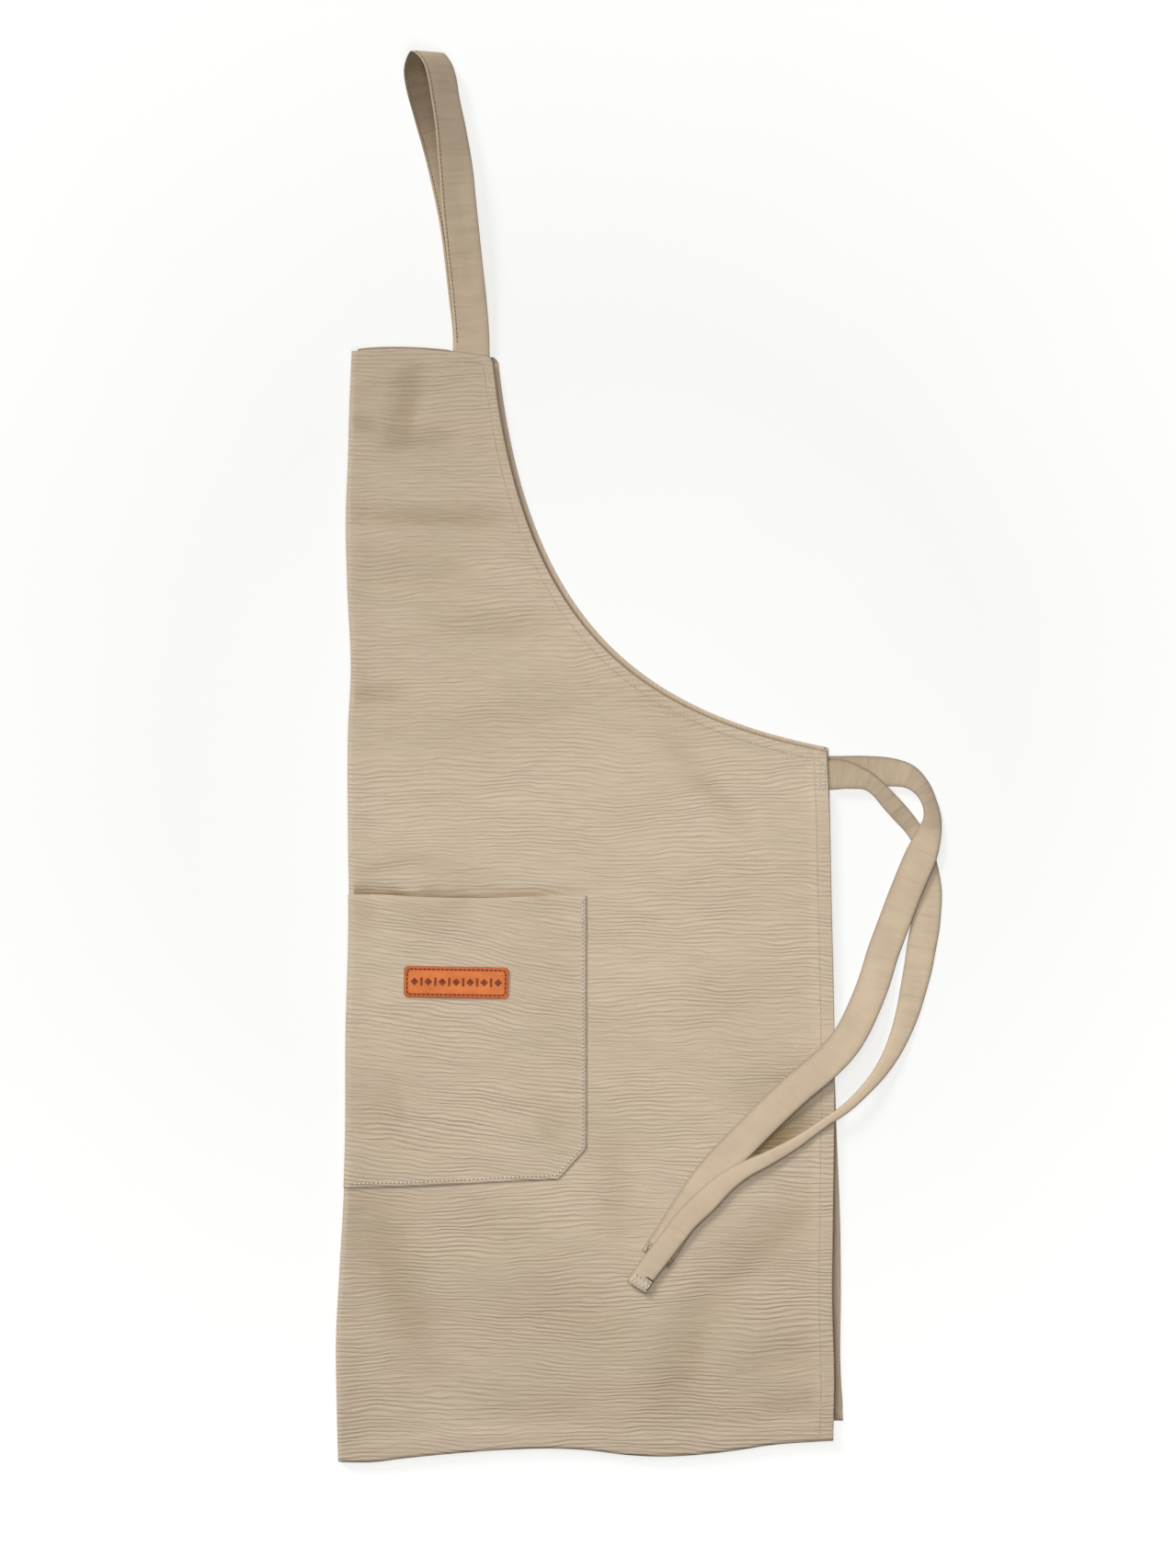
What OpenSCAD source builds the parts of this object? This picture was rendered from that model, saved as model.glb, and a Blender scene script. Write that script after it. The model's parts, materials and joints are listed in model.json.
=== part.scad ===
// Canvas bib apron, folded in half down its middle and laid flat with the outside out.
// The back half lies on the surface, the front half lies on it, and the fold joins them.
// x runs from the fold to the side edges, y runs up to the neck loop, z runs up from the surface.

/* [Panel] */
// Overall width of the folded apron, without its ties
apron_w = 364; // [356:1:370]
// Overall length with the neck loop laid straight
apron_l = 1012; // [1004:1:1020]
// Height of the bib top edge above the middle of the apron
bib_top = 290; // [280:1:294]
// Width of the folded bib from the fold to the armhole corner
bib_w = 103; // [98:1:106]
// Height of the armhole corner above the middle of the apron
waist = 3; // [0:1:6]
// Thickness of the canvas as it lies
cloth_t = 1.2; // [1:0.1:1.4]
// Lean of the fold from the y axis, in degrees
fold_lean = 0.65; // [0.4:0.05:0.9]
// Radius of the cloth where it turns round the fold
fold_r = 4; // [4:0.1:4.4]

/* [Hems] */
// Depth of the hem along the top of the bib
bib_hem_w = 24; // [22:1:28]
// Depth of the hem along the armhole
armhole_hem_w = 8; // [6:1:10]
// Depth of the hem down the side
side_hem_w = 12; // [10:1:14]
// Depth of the hem along the bottom
bottom_hem_w = 14; // [10:1:20]
// Thickness that a turned hem adds
hem_t = 1; // [0.8:0.1:1]
// Width of a line of thread
thread_w = 0.8; // [0.6:0.1:1]
// Height of a line of thread on the cloth
thread_t = 0.2; // [0.1:0.05:0.25]

/* [Pocket] */
// Height of the pocket from its bottom edge to its mouth
pocket_h = 206; // [195:1:215]
// Height of the pocket mouth, measured from the middle of the apron
pocket_mouth = -100; // [-110:1:-90]
// Distance of the sewn side of the pocket from the middle of the apron
pocket_side = -2.5; // [-10:0.5:2]
// Cut corner of the pocket, along the bottom
pocket_cut_w = 20; // [14:1:24]
// Cut corner of the pocket, up the side
pocket_cut_h = 22; // [16:1:26]
// Height that the mouth of the front pocket stands open
mouth_gap = 6; // [5.6:0.1:6.5]
// Thickness of the front pocket cloth
pocket_t = 0.8; // [0.6:0.1:1]
// Width of the sewn border of the pocket
pocket_border = 8; // [6:1:12]

/* [Label] */
// Length of the leather label
label_l = 75; // [70:1:80]
// Height of the leather label
label_h = 22.5; // [20:0.5:25]
// Thickness of the leather
label_t = 1.2; // [1:0.1:1.6]
// Corner radius of the label
label_r = 3; // [2:0.5:4]
// Tilt of the label on the pocket, in degrees
label_tilt = -1; // [-2:0.5:2]

/* [Straps] */
// Width of the neck strap
strap_w = 25; // [23:0.5:26]
// Width of the waist ties
tie_w = 23.5; // [22:0.5:24]
// Thickness of the strap and of the ties
strap_t = 1.2; // [1:0.1:1.2]

/* [Hidden] */

$fn = 48;
cloth_colour = "#c6b597";
hem_colour = "#bfae90";
thread_colour = "#d8cbb0";
strap_colour = "#b9a888";
leather_colour = "#c9662f";
leather_dark = "#7a2c1c";
eps = 0.01;

fold_z = fold_r;                       // height of the fold line, where the two halves part
front_top = 2 * fold_r;                // upper face of the front panel
front_under = front_top - cloth_t;     // lower face of the front panel
fold_bottom_x = -apron_w / 2;
fold_top_x = fold_bottom_x + (bib_top + apron_l / 2) * tan(fold_lean);
side_x = apron_w / 2;
hem_y = -apron_l / 2;
loop_top = apron_l / 2;                // highest y of the neck loop
back_pocket_t = 0.4;
back_mouth_t = 0.4;

// x of the fold line at height y
function fold_x(y) = fold_top_x - (bib_top - y) * tan(fold_lean);

// A point on a cubic curve
function curve(a, b, c, d, t) =
    a * pow(1 - t, 3) + b * 3 * pow(1 - t, 2) * t + c * 3 * (1 - t) * t * t + d * pow(t, 3);

function unit(v) = v / norm(v);
function flat_normal(p, i) =
    let (d = unit(p[min(i + 1, len(p) - 1)] - p[max(i - 1, 0)])) [d[1], -d[0]];
// The same line, moved sideways by w
function beside(p, w) = [for (i = [0 : len(p) - 1]) p[i] + flat_normal(p, i) * w];
function reversed(p) = [for (i = [len(p) - 1 : -1 : 0]) p[i]];
// A closed band from one side of a line to the other
function band(p, from, to) = concat(beside(p, from), reversed(beside(p, to)));

// Outline of one half, as four runs from the fold round to the fold again.
// peek moves the armhole and the side of the back half out past the front half.
function bib_corner(peek) = [fold_top_x + bib_w + peek, bib_top - 6];
function waist_corner(peek) = [side_x - 12, waist + peek];
function hem_corner(peek) = [side_x - 6 + peek, hem_y + 15 + peek];
function bib_run(peek) =
    [[fold_x(bib_top - 1) + fold_r, bib_top - 1], [fold_top_x + 30, bib_top],
     [fold_top_x + 70, bib_top - 1], [fold_top_x + bib_w - 3 + peek, bib_top - 3], bib_corner(peek)];
function armhole_run(peek) =
    [for (i = [0 : 16])
        curve(bib_corner(peek), [-50 + peek, 91 + peek], [34 + peek, 29 + peek], waist_corner(peek), i / 16)];
function side_run(peek) =
    [waist_corner(peek), [side_x - 9 + peek / 3, -100], [side_x - 7 + peek / 2, -215], hem_corner(peek)];
function bottom_run(peek) =
    [hem_corner(peek), [104, hem_y + 8 + peek], [50, hem_y + 4 + peek], [-15, hem_y + 10],
     [-80, hem_y + 7], [-145, hem_y], [fold_x(hem_y + 3) + fold_r, hem_y + 3]];
function half_outline(peek) =
    concat(bib_run(peek), [for (i = [1 : 16]) armhole_run(peek)[i]],
           [for (i = [1 : 3]) side_run(peek)[i]], [for (i = [1 : 6]) bottom_run(peek)[i]]);
back_peek = 6;

// Free tie of the back half: x, y, z, roll in degrees, width and thickness as it curls.
back_tie_route = [
    [170, -11, 2.8, 0, 23, 1.2], [172, -11, 2.8, 0, 23, 1.2], [184, -11, 2.6, 0, 23, 1.2], [198, -11, 2.4, 0, 23, 1.2],
    [214, -11, 2.8, 4, 21, 1.4], [228, -14, 3.6, 10, 18, 2], [238, -22, 4.2, 18, 14, 2.6],
    [244, -33, 4.6, 22, 12, 2.8], [246, -45, 4.8, 15, 14, 2.6], [243, -58, 5.2, 0, 19, 1.6],
    [238, -72, 5.2, 0, 23, 1.2], [231, -88, 4.4, 0, 23, 1.2], [224, -106, 3.4, 0, 23, 1.2],
    [217, -124, 2.8, 0, 23, 1.2], [211, -141, 2, 0, 23, 1.2], [205, -160, 4.4, 0, 23, 1.2],
    [198, -178, 8.4, 0, 23, 1.2], [190, -194, 12, 0, 23, 1.2], [180, -209, 14, 0, 23, 1.2],
    [166, -223, 14, 0, 23, 1.2], [150, -237, 12.8, 0, 23, 1.2], [134, -252, 11, 0, 23, 1.2],
    [117, -269, 9.6, 0, 23, 1.2], [98, -288, 9.2, 0, 23, 1.2], [82, -307, 9.2, 0, 23, 1.2],
    [67, -330, 9.2, 0, 23, 1.2], [55, -349, 9.2, 0, 23, 1.2], [51, -355, 9.2, 0, 23, 1.2]];
back_tip_route = [[51, -355, 9.2, 0, 23, 2], [47, -361, 9.2, 0, 23, 2]];

// Free tie of the front half. It goes under the back tie first, and over it near the end.
front_tie_route = [
    [170, -13, 5.2, 0, 22, 1.2], [172, -13, 5.2, 0, 22, 1.2], [181, -13, 5.4, 0, 21, 1.2], [191, -15, 5.8, 0, 17, 1.6],
    [200, -18, 6, 0, 13, 2.4], [208, -24, 5.6, 0, 12, 2.4], [216, -33, 4.6, 0, 13, 2.2],
    [224, -42, 3, 0, 13, 2], [231, -50, 1.8, 0, 12, 2], [237, -59, 1.4, 0, 12, 2],
    [241, -69, 1.4, 0, 13, 2], [243, -82, 1.2, 0, 16, 1.6], [244, -96, 1, 0, 19, 1.2],
    [243, -110, 0.9, 0, 20, 1.2], [241, -125, 0.9, 0, 21, 1.2], [238, -141, 0.9, 0, 21, 1.2],
    [235, -157, 0.9, 0, 20, 1.2], [229, -183, 1.4, 0, 17, 1.6], [220, -208, 3.4, 0, 13, 2.2],
    [209, -226, 6.4, 0, 10, 2.6], [197, -240, 9.4, 0, 8, 2.6], [184, -252, 10.2, 0, 7, 2.6],
    [170, -262, 10, 0, 6.5, 2.6], [156, -272, 9.8, 0, 7.5, 2.6], [142, -281, 10.2, 0, 9, 2.4],
    [127, -289, 11.2, 0, 10.5, 2.2], [112, -296, 11.2, 0, 12, 2], [97, -306, 11.2, 0, 15, 1.8],
    [83, -319, 11.2, 0, 17.5, 1.6], [70, -332, 11.2, 0, 17, 1.6], [59, -346, 11.2, 0, 16.5, 1.6],
    [49, -359, 11.2, 0, 16.5, 1.6], [39.75, -371, 11.2, 0, 16, 1.6],
    [38.5, -373, 11.2, 0, 16, 1.6]];
front_tip_route = [[38.5, -373, 11.2, 0, 16, 2.2], [33.5, -381, 11.2, 0, 16, 2.2]];

// Neck strap, by the places of its left and right edges: up the strand that lies under,
// round the loop at the top, then down the strand that lies over it.
strap_low_z = 1;
strap_left = [
    [-98.5, bib_top, 2.8], [-98.5, bib_top + 2, 2.8], [-98.8, 306, 1.8], [-101, 325, strap_low_z],
    [-104, 352, strap_low_z], [-107.3, 378, strap_low_z], [-112.3, 404, strap_low_z],
    [-118.5, 431, strap_low_z], [-125.7, 457, 1.4], [-131.5, 478, 2.4], [-133.6, 491, 5],
    [-132.2, 499.4, 9], [-128.2, loop_top - 0.7, 14], [-123, 501.6, 19], [-118.5, 494.6, 21.6],
    [-115.5, 484, 22.4], [-113.2, 470, 22.2], [-110.5, 452, 21.4], [-108.8, 432, 20.2],
    [-107.4, 415, 18.6], [-106.2, 397, 16.8], [-104.2, 376, 14.6], [-102, 354, 12.2],
    [-99.8, 334, 9.9], [-98, 314, 7.5], [-97.2, 301, 5.9], [-97, bib_top + 2, 5.2], [-97, bib_top, 5.2]];
strap_right = [
    [-73.5, bib_top, 2.8], [-73.5, bib_top + 2, 2.8], [-73.8, 306, 1.8], [-76, 325, strap_low_z],
    [-79, 352, strap_low_z], [-82.4, 379, strap_low_z], [-87.6, 408, strap_low_z],
    [-94.3, 437, strap_low_z], [-101.6, 463.5, strap_low_z], [-107.4, 484, 1.2], [-109.4, 497, 2.2],
    [-108.2, 502.4, 3.6], [-105.3, loop_top - 0.6, 5.8], [-102, 502, 7.6], [-98.5, 496, 8.8],
    [-95.6, 486, 9.4], [-93.4, 472, 9.8], [-89.5, 454, 10.6], [-85.8, 434, 11.6],
    [-83.3, 417, 12.8], [-81.5, 398.5, 13.3], [-79.3, 377.5, 13], [-77, 355, 11.4],
    [-74.8, 335, 9.6], [-73, 315, 7.4], [-72.2, 302, 5.9], [-72, bib_top + 2, 5.2], [-72, bib_top, 5.2]];
strap_turn = 12;                       // the place in the lists where one strand becomes the other

// Cross-section of a strip of cloth, as shares of its half width and half thickness
strip_section = [[1, -0.4], [1, 0.4], [0.94, 1], [-0.94, 1], [-1, 0.4], [-1, -0.4], [-0.94, -1], [0.94, -1]];
function place(q) = [q[0], q[1], q[2]];
function heading(p, i) = unit(place(p[min(i + 1, len(p) - 1)]) - place(p[max(i - 1, 0)]));
// Sideways direction of a strip, level and rolled about its heading
function level_side(t, roll) =
    let (h = unit(cross(t, [0, 0, 1])), u = cross(h, t)) h * cos(roll) + u * sin(roll);
function strip_ring(c, t, side, w, th) =
    let (up = unit(cross(side, t))) [for (s = strip_section) c + side * s[0] * w / 2 + up * s[1] * th / 2];
function strip_faces(rings) =
    let (n = len(strip_section))
    concat([[for (k = [n - 1 : -1 : 0]) k]], [[for (k = [0 : n - 1]) (rings - 1) * n + k]],
           [for (i = [0 : rings - 2], k = [0 : n - 1], half = [0, 1])
               let (a = i * n + k, b = i * n + (k + 1) % n)
               half == 0 ? [a, b, b + n] : [a, b + n, a + n]]);

// A free tie, with its own roll, width and thickness at each point of its route
module tie_strip(route) {
    points = [for (i = [0 : len(route) - 1])
        let (t = heading(route, i), q = route[i])
        each strip_ring(place(q), t, level_side(t, q[3]), q[4], q[5])];
    polyhedron(points, strip_faces(len(route)), convexity = 10);
}

// The neck strap between two places in the lists of its edges
module strap_strand(first, last) {
    middle = (strap_left + strap_right) / 2;
    points = [for (i = [first : last])
        let (q = strap_right[i] - strap_left[i])
        each strip_ring(middle[i], heading(middle, i), unit(q), norm(q), strap_t)];
    polyhedron(points, strip_faces(last - first + 1), convexity = 10);
}

// A flat sheet with a given outline, from one height to another
module sheet(outline, low, high) {
    translate([0, 0, low]) linear_extrude(height = high - low) polygon(outline);
}

// The cloth that turns round the fold, seen along the fold: from outer to inner radius
module fold_turn(outer, inner, y_low, y_high) {
    length = (y_high - y_low) / cos(fold_lean);
    translate([fold_x(y_high) + fold_r, y_high, fold_z])
        rotate([90, 0, -fold_lean])
            linear_extrude(height = length)
                difference() {
                    circle(r = outer);
                    circle(r = inner);
                    translate([0, -2 * outer]) square([2 * outer, 4 * outer]);
                }
}

// Pocket outline, with a cut lower corner
pocket_bottom = pocket_mouth - pocket_h;
function pocket_outline() =
    [[fold_x(pocket_mouth) + fold_r, pocket_mouth], [pocket_side, pocket_mouth],
     [pocket_side, pocket_bottom + pocket_cut_h], [pocket_side - pocket_cut_w, pocket_bottom],
     [fold_x(pocket_bottom) + fold_r, pocket_bottom]];
pocket_slope = atan(mouth_gap / pocket_h);
pocket_left = fold_x(pocket_bottom);
fold_strip_w = 8;

// Puts a piece on the sloping face of the front pocket, y measured up from its bottom edge
module on_pocket() {
    translate([0, pocket_bottom, front_top + pocket_t]) rotate([pocket_slope, 0, 0]) children();
}

// A prism whose section in y and z is given, running along x
module along_x(section, x_low, x_high) {
    translate([x_low, 0, 0]) rotate([90, 0, 90]) linear_extrude(height = x_high - x_low) polygon(section);
}

// Strip that the front pocket and its recess share, beside the fold
module pocket_fold_strip(low, high) {
    sheet([[fold_x(pocket_mouth) + fold_r, pocket_mouth],
           [fold_x(pocket_mouth) + fold_r + fold_strip_w, pocket_mouth],
           [fold_x(pocket_bottom) + fold_r + fold_strip_w, pocket_bottom],
           [fold_x(pocket_bottom) + fold_r, pocket_bottom]], low, high);
}

mouth_hem_h = 14;
mouth_hem_left = fold_top_x + 16;
mouth_hem_right = pocket_side - pocket_border - 1;

module back_panel() {
    color(cloth_colour) difference() {
        sheet(half_outline(back_peek), 0, cloth_t);
        sheet(pocket_outline(), -1, back_pocket_t);
        back_mouth_hem_shape(-1);
    }
}

module front_panel() {
    color(cloth_colour) difference() {
        sheet(half_outline(0), front_under, front_top);
        pocket_fold_strip(front_top - back_pocket_t, front_top + 1);
    }
}

module centre_fold_cloth() {
    color(cloth_colour) difference() {
        fold_turn(fold_r, fold_r - cloth_t, hem_y + 3, bib_top - 1);
        fold_turn(fold_r + 1, fold_r - back_pocket_t, pocket_bottom, pocket_mouth);
    }
}

// Turned hems lie on the inside: above the back panel and below the front panel.
back_hem_z = cloth_t;
front_hem_z = front_under - hem_t;
hem_gap = 0.3;                         // room between the hems of neighbouring edges

// The hem of one edge, cut back where the next edge's hem lies
module bib_hem(peek, low) {
    color(hem_colour) intersection() {
        sheet(half_outline(peek), low, low + hem_t);
        translate([fold_top_x + fold_r, bib_top - bib_hem_w, low - 1]) cube([bib_w + 60, bib_hem_w + 5, 3]);
    }
}
module armhole_hem(peek, low) {
    color(hem_colour) difference() {
        sheet(band(armhole_run(peek), 0, armhole_hem_w), low, low + hem_t);
        translate([-200, bib_top - bib_hem_w - hem_gap, low - 1]) cube([400, 60, 3]);
        translate([waist_corner(peek)[0] - side_hem_w - hem_gap, -60, low - 1]) cube([80, 120, 3]);
    }
}
module side_hem(peek, low) {
    color(hem_colour) difference() {
        intersection() {
            sheet(half_outline(peek), low, low + hem_t);
            sheet(band(side_run(peek), -5, side_hem_w), low - 1, low + 2);
        }
        sheet(band(bottom_run(peek), -5, bottom_hem_w + hem_gap), low - 1, low + 3);
    }
}
module bottom_hem(peek, low) {
    color(hem_colour) sheet(band(bottom_run(peek), 0, bottom_hem_w), low, low + hem_t);
}
module back_bib_hem() { bib_hem(back_peek, back_hem_z); }
module front_bib_hem() { bib_hem(0, front_hem_z); }
module back_armhole_hem() { armhole_hem(back_peek, back_hem_z); }
module front_armhole_hem() { armhole_hem(0, front_hem_z); }
module back_side_hem() { side_hem(back_peek, back_hem_z); }
module front_side_hem() { side_hem(0, front_hem_z); }
module back_bottom_hem() { bottom_hem(back_peek, back_hem_z); }
module front_bottom_hem() { bottom_hem(0, front_hem_z); }

// Lines of thread follow the armhole, the side and the bottom, each inside its edge
armhole_row = 6.5;
side_row = 9.5;
module hem_thread_lines(peek, low, high) {
    color(thread_colour) union() {
        sheet(band(armhole_run(peek), armhole_row - thread_w, armhole_row), low, high);
        sheet(band(side_run(peek), side_row - thread_w, side_row), low, high);
        sheet(band(bottom_run(peek), side_row - thread_w, side_row), low, high);
    }
}
module back_hem_thread() {
    low = back_hem_z + hem_t;
    color(thread_colour) difference() {
        hem_thread_lines(back_peek, low, low + thread_t);
        translate([waist_corner(back_peek)[0] - side_hem_w - 1, -26, low - 1]) cube([30, 60, 3]);
        translate([-110, bib_top - bib_hem_w - 2, low - 1]) cube([100, 40, 3]);
    }
}
module front_hem_thread() {
    hem_thread_lines(0, front_top, front_top + thread_t);
}

module back_pocket() {
    color(cloth_colour) sheet(pocket_outline(), 0, back_pocket_t);
}
module back_mouth_hem_shape(low) {
    translate([mouth_hem_left, pocket_mouth - mouth_hem_h, low])
        cube([mouth_hem_right - mouth_hem_left, mouth_hem_h, back_pocket_t + back_mouth_t - low]);
}
module back_pocket_mouth_hem() { color(hem_colour) back_mouth_hem_shape(back_pocket_t); }

module pocket_fold_cloth() {
    color(cloth_colour) fold_turn(fold_r, fold_r - back_pocket_t, pocket_bottom, pocket_mouth);
}

// The front pocket rises from its sewn bottom to its open mouth
front_pocket_under = [[pocket_bottom, front_top], [pocket_mouth + 1, front_top],
                      [pocket_mouth + 1, front_top + mouth_gap * (pocket_h + 1) / pocket_h]];
module front_pocket() {
    color(cloth_colour) union() {
        difference() {
            intersection() {
                sheet(pocket_outline(), front_top, front_top + 20);
                along_x([[pocket_bottom - 1, front_top], [pocket_mouth + 1, front_top],
                         [pocket_mouth + 1, front_top + pocket_t + mouth_gap * (pocket_h + 1) / pocket_h],
                         [pocket_bottom - 1, front_top + pocket_t - mouth_gap / pocket_h]],
                        pocket_left, pocket_side + 1);
            }
            intersection() {
                along_x(front_pocket_under, pocket_left, pocket_side + 1);
                sheet([[fold_x(pocket_mouth) + fold_r + fold_strip_w, pocket_mouth + 2],
                       [pocket_side - pocket_border, pocket_mouth + 2],
                       [pocket_side - pocket_border, pocket_bottom + pocket_cut_h + 4],
                       [pocket_side - pocket_cut_w - 4, pocket_bottom + pocket_border],
                       [fold_x(pocket_bottom) + fold_r + fold_strip_w, pocket_bottom + pocket_border]],
                      front_top - 1, front_top + 20);
            }
        }
        pocket_fold_strip(front_top - back_pocket_t, front_top + eps);
    }
}
pocket_run = pocket_h / cos(pocket_slope);     // length of the pocket along its slope
module front_pocket_mouth_hem() {
    color(hem_colour) on_pocket()
        translate([mouth_hem_left, pocket_run - mouth_hem_h, -pocket_t / cos(pocket_slope) - back_mouth_t])
            cube([mouth_hem_right - mouth_hem_left, mouth_hem_h - 1, back_mouth_t]);
}

// Edge stitching of the pocket: along its side, its cut corner and its bottom
pocket_row = 3;
module front_pocket_thread() {
    line = [[pocket_side - pocket_row, pocket_run - 2],
            [pocket_side - pocket_row, pocket_cut_h + 1],
            [pocket_side - pocket_cut_w - 1, pocket_row],
            [pocket_left + fold_r + 14, pocket_row]];
    color(thread_colour) on_pocket() sheet(band(line, 0, thread_w), 0, thread_t);
}

// A row of separate stitches from one point to another
module stitch_row(from, to, count, low, stitch_l = 2) {
    step = (to - from) / count;
    for (i = [0 : count - 1])
        translate([from[0] + step[0] * (i + 0.5), from[1] + step[1] * (i + 0.5), low])
            rotate([0, 0, atan2(step[1], step[0])])
                translate([-stitch_l / 2, -thread_w / 2, 0])
                    cube([stitch_l, thread_w, thread_t]);
}

module pocket_corner_tack() {
    color(thread_colour) on_pocket()
        stitch_row([pocket_side - 1, pocket_run - 22], [pocket_side - 1, pocket_run - 3], 7, 0);
}

label_x = -95.7;
label_up = 144;
label_inset = 2.2;
module label_place() {
    on_pocket() translate([label_x, label_up, 0]) rotate([0, 0, label_tilt]) children();
}
module rounded_plate(l, h, r, t) {
    linear_extrude(height = t) union() {
        square([l - 2 * r, h], center = true);
        square([l, h - 2 * r], center = true);
        for (x = [-1, 1], y = [-1, 1]) translate([x * (l / 2 - r), y * (h / 2 - r)]) circle(r = r);
    }
}
// Plain debossed motif: diamonds and short bars by turns
motif_step = 5;
motif_reach = 6;
module deboss_shape() {
    for (i = [-motif_reach : motif_reach])
        translate([i * motif_step, 0])
            if (i % 2 == 0) rotate(45) square(4, center = true);
            else square([1.6, 6], center = true);
}
deboss_d = 0.4;
module leather_label() {
    color(leather_colour) label_place() difference() {
        rounded_plate(label_l, label_h, label_r, label_t);
        translate([0, 0, label_t - deboss_d]) linear_extrude(height = 1) deboss_shape();
    }
}
module label_deboss_inlay() {
    color(leather_dark) label_place()
        translate([0, 0, label_t - deboss_d]) linear_extrude(height = deboss_d / 2) deboss_shape();
}
module label_thread() {
    x = label_l / 2 - label_inset;
    y = label_h / 2 - label_inset;
    color(leather_dark) label_place() {
        for (s = [-1, 1]) {
            stitch_row([-x + 1, s * y], [x - 1, s * y], 22, label_t);
            stitch_row([s * x, -y + 1], [s * x, y - 1], 5, label_t);
        }
    }
}

module neck_strap_back() { color(strap_colour) strap_strand(0, strap_turn); }
module neck_strap_front() { color(strap_colour) strap_strand(strap_turn, len(strap_left) - 1); }

// Ends of the strap, sewn to the inside of the bib hem
strap_end_l = 20;
module strap_end(x, low) {
    color(strap_colour) translate([x, bib_top - strap_end_l, low])
        cube([strap_w, strap_end_l, strap_t]);
}
back_strap_z = back_hem_z + hem_t;
front_strap_z = front_hem_z - strap_t;
module back_strap_end() { strap_end(strap_left[0][0], back_strap_z); }
module front_strap_end() { strap_end(strap_left[len(strap_left) - 1][0], front_strap_z); }

// Line of stitches across the strap, and the tack at the corner of the bib
module front_strap_thread() {
    color(thread_colour) stitch_row([-96, bib_top - 6], [-74, bib_top - 6], 8, front_top);
}
module bib_corner_tack() {
    color(thread_colour) stitch_row([-73.5, bib_top - 20], [-73.5, bib_top - 9], 4, front_top);
}

// Ends of the ties, sewn to the inside of the side hem
tie_end_l = 10;
module tie_end(route, low) {
    color(strap_colour) translate([route[0][0] - tie_end_l, route[0][1] - route[0][4] / 2, low])
        cube([tie_end_l, route[0][4], strap_t]);
}
module back_tie_end() { tie_end(back_tie_route, back_strap_z); }
module front_tie_end() { tie_end(front_tie_route, front_strap_z); }

// Box of stitches that holds the front tie
box_low = -24;
box_high = -5;
module front_tie_box_thread() {
    left = waist_corner(0)[0] - 5;
    right = left + 3.4;
    color(thread_colour) {
        stitch_row([left, box_low], [left, box_high], 8, front_top);
        stitch_row([right, box_low], [right, box_high], 8, front_top);
        stitch_row([left + 0.5, box_low], [right - 0.5, box_low], 1, front_top);
        stitch_row([left + 0.5, box_high], [right - 0.5, box_high], 1, front_top);
    }
}

module back_waist_tie() { color(strap_colour) tie_strip(back_tie_route); }
module front_waist_tie() { color(strap_colour) tie_strip(front_tie_route); }
module back_tie_tip() { color(hem_colour) tie_strip(back_tip_route); }
module front_tie_tip() { color(hem_colour) tie_strip(front_tip_route); }

back_panel();
front_panel();
centre_fold_cloth();
back_bib_hem();
front_bib_hem();
back_armhole_hem();
front_armhole_hem();
back_side_hem();
front_side_hem();
back_bottom_hem();
front_bottom_hem();
back_hem_thread();
front_hem_thread();
back_pocket();
front_pocket();
pocket_fold_cloth();
back_pocket_mouth_hem();
front_pocket_mouth_hem();
front_pocket_thread();
pocket_corner_tack();
leather_label();
label_thread();
label_deboss_inlay();
neck_strap_back();
neck_strap_front();
back_strap_end();
front_strap_end();
front_strap_thread();
bib_corner_tack();
back_tie_end();
front_tie_end();
front_tie_box_thread();
back_waist_tie();
front_waist_tie();
back_tie_tip();
front_tie_tip();
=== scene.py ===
"""Looks of a canvas bib apron, folded in half down its middle and laid flat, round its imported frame.

Lengths are in millimetres up to the moment a mesh is made, and in metres after it.
"""
import json
import math
import random

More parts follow.
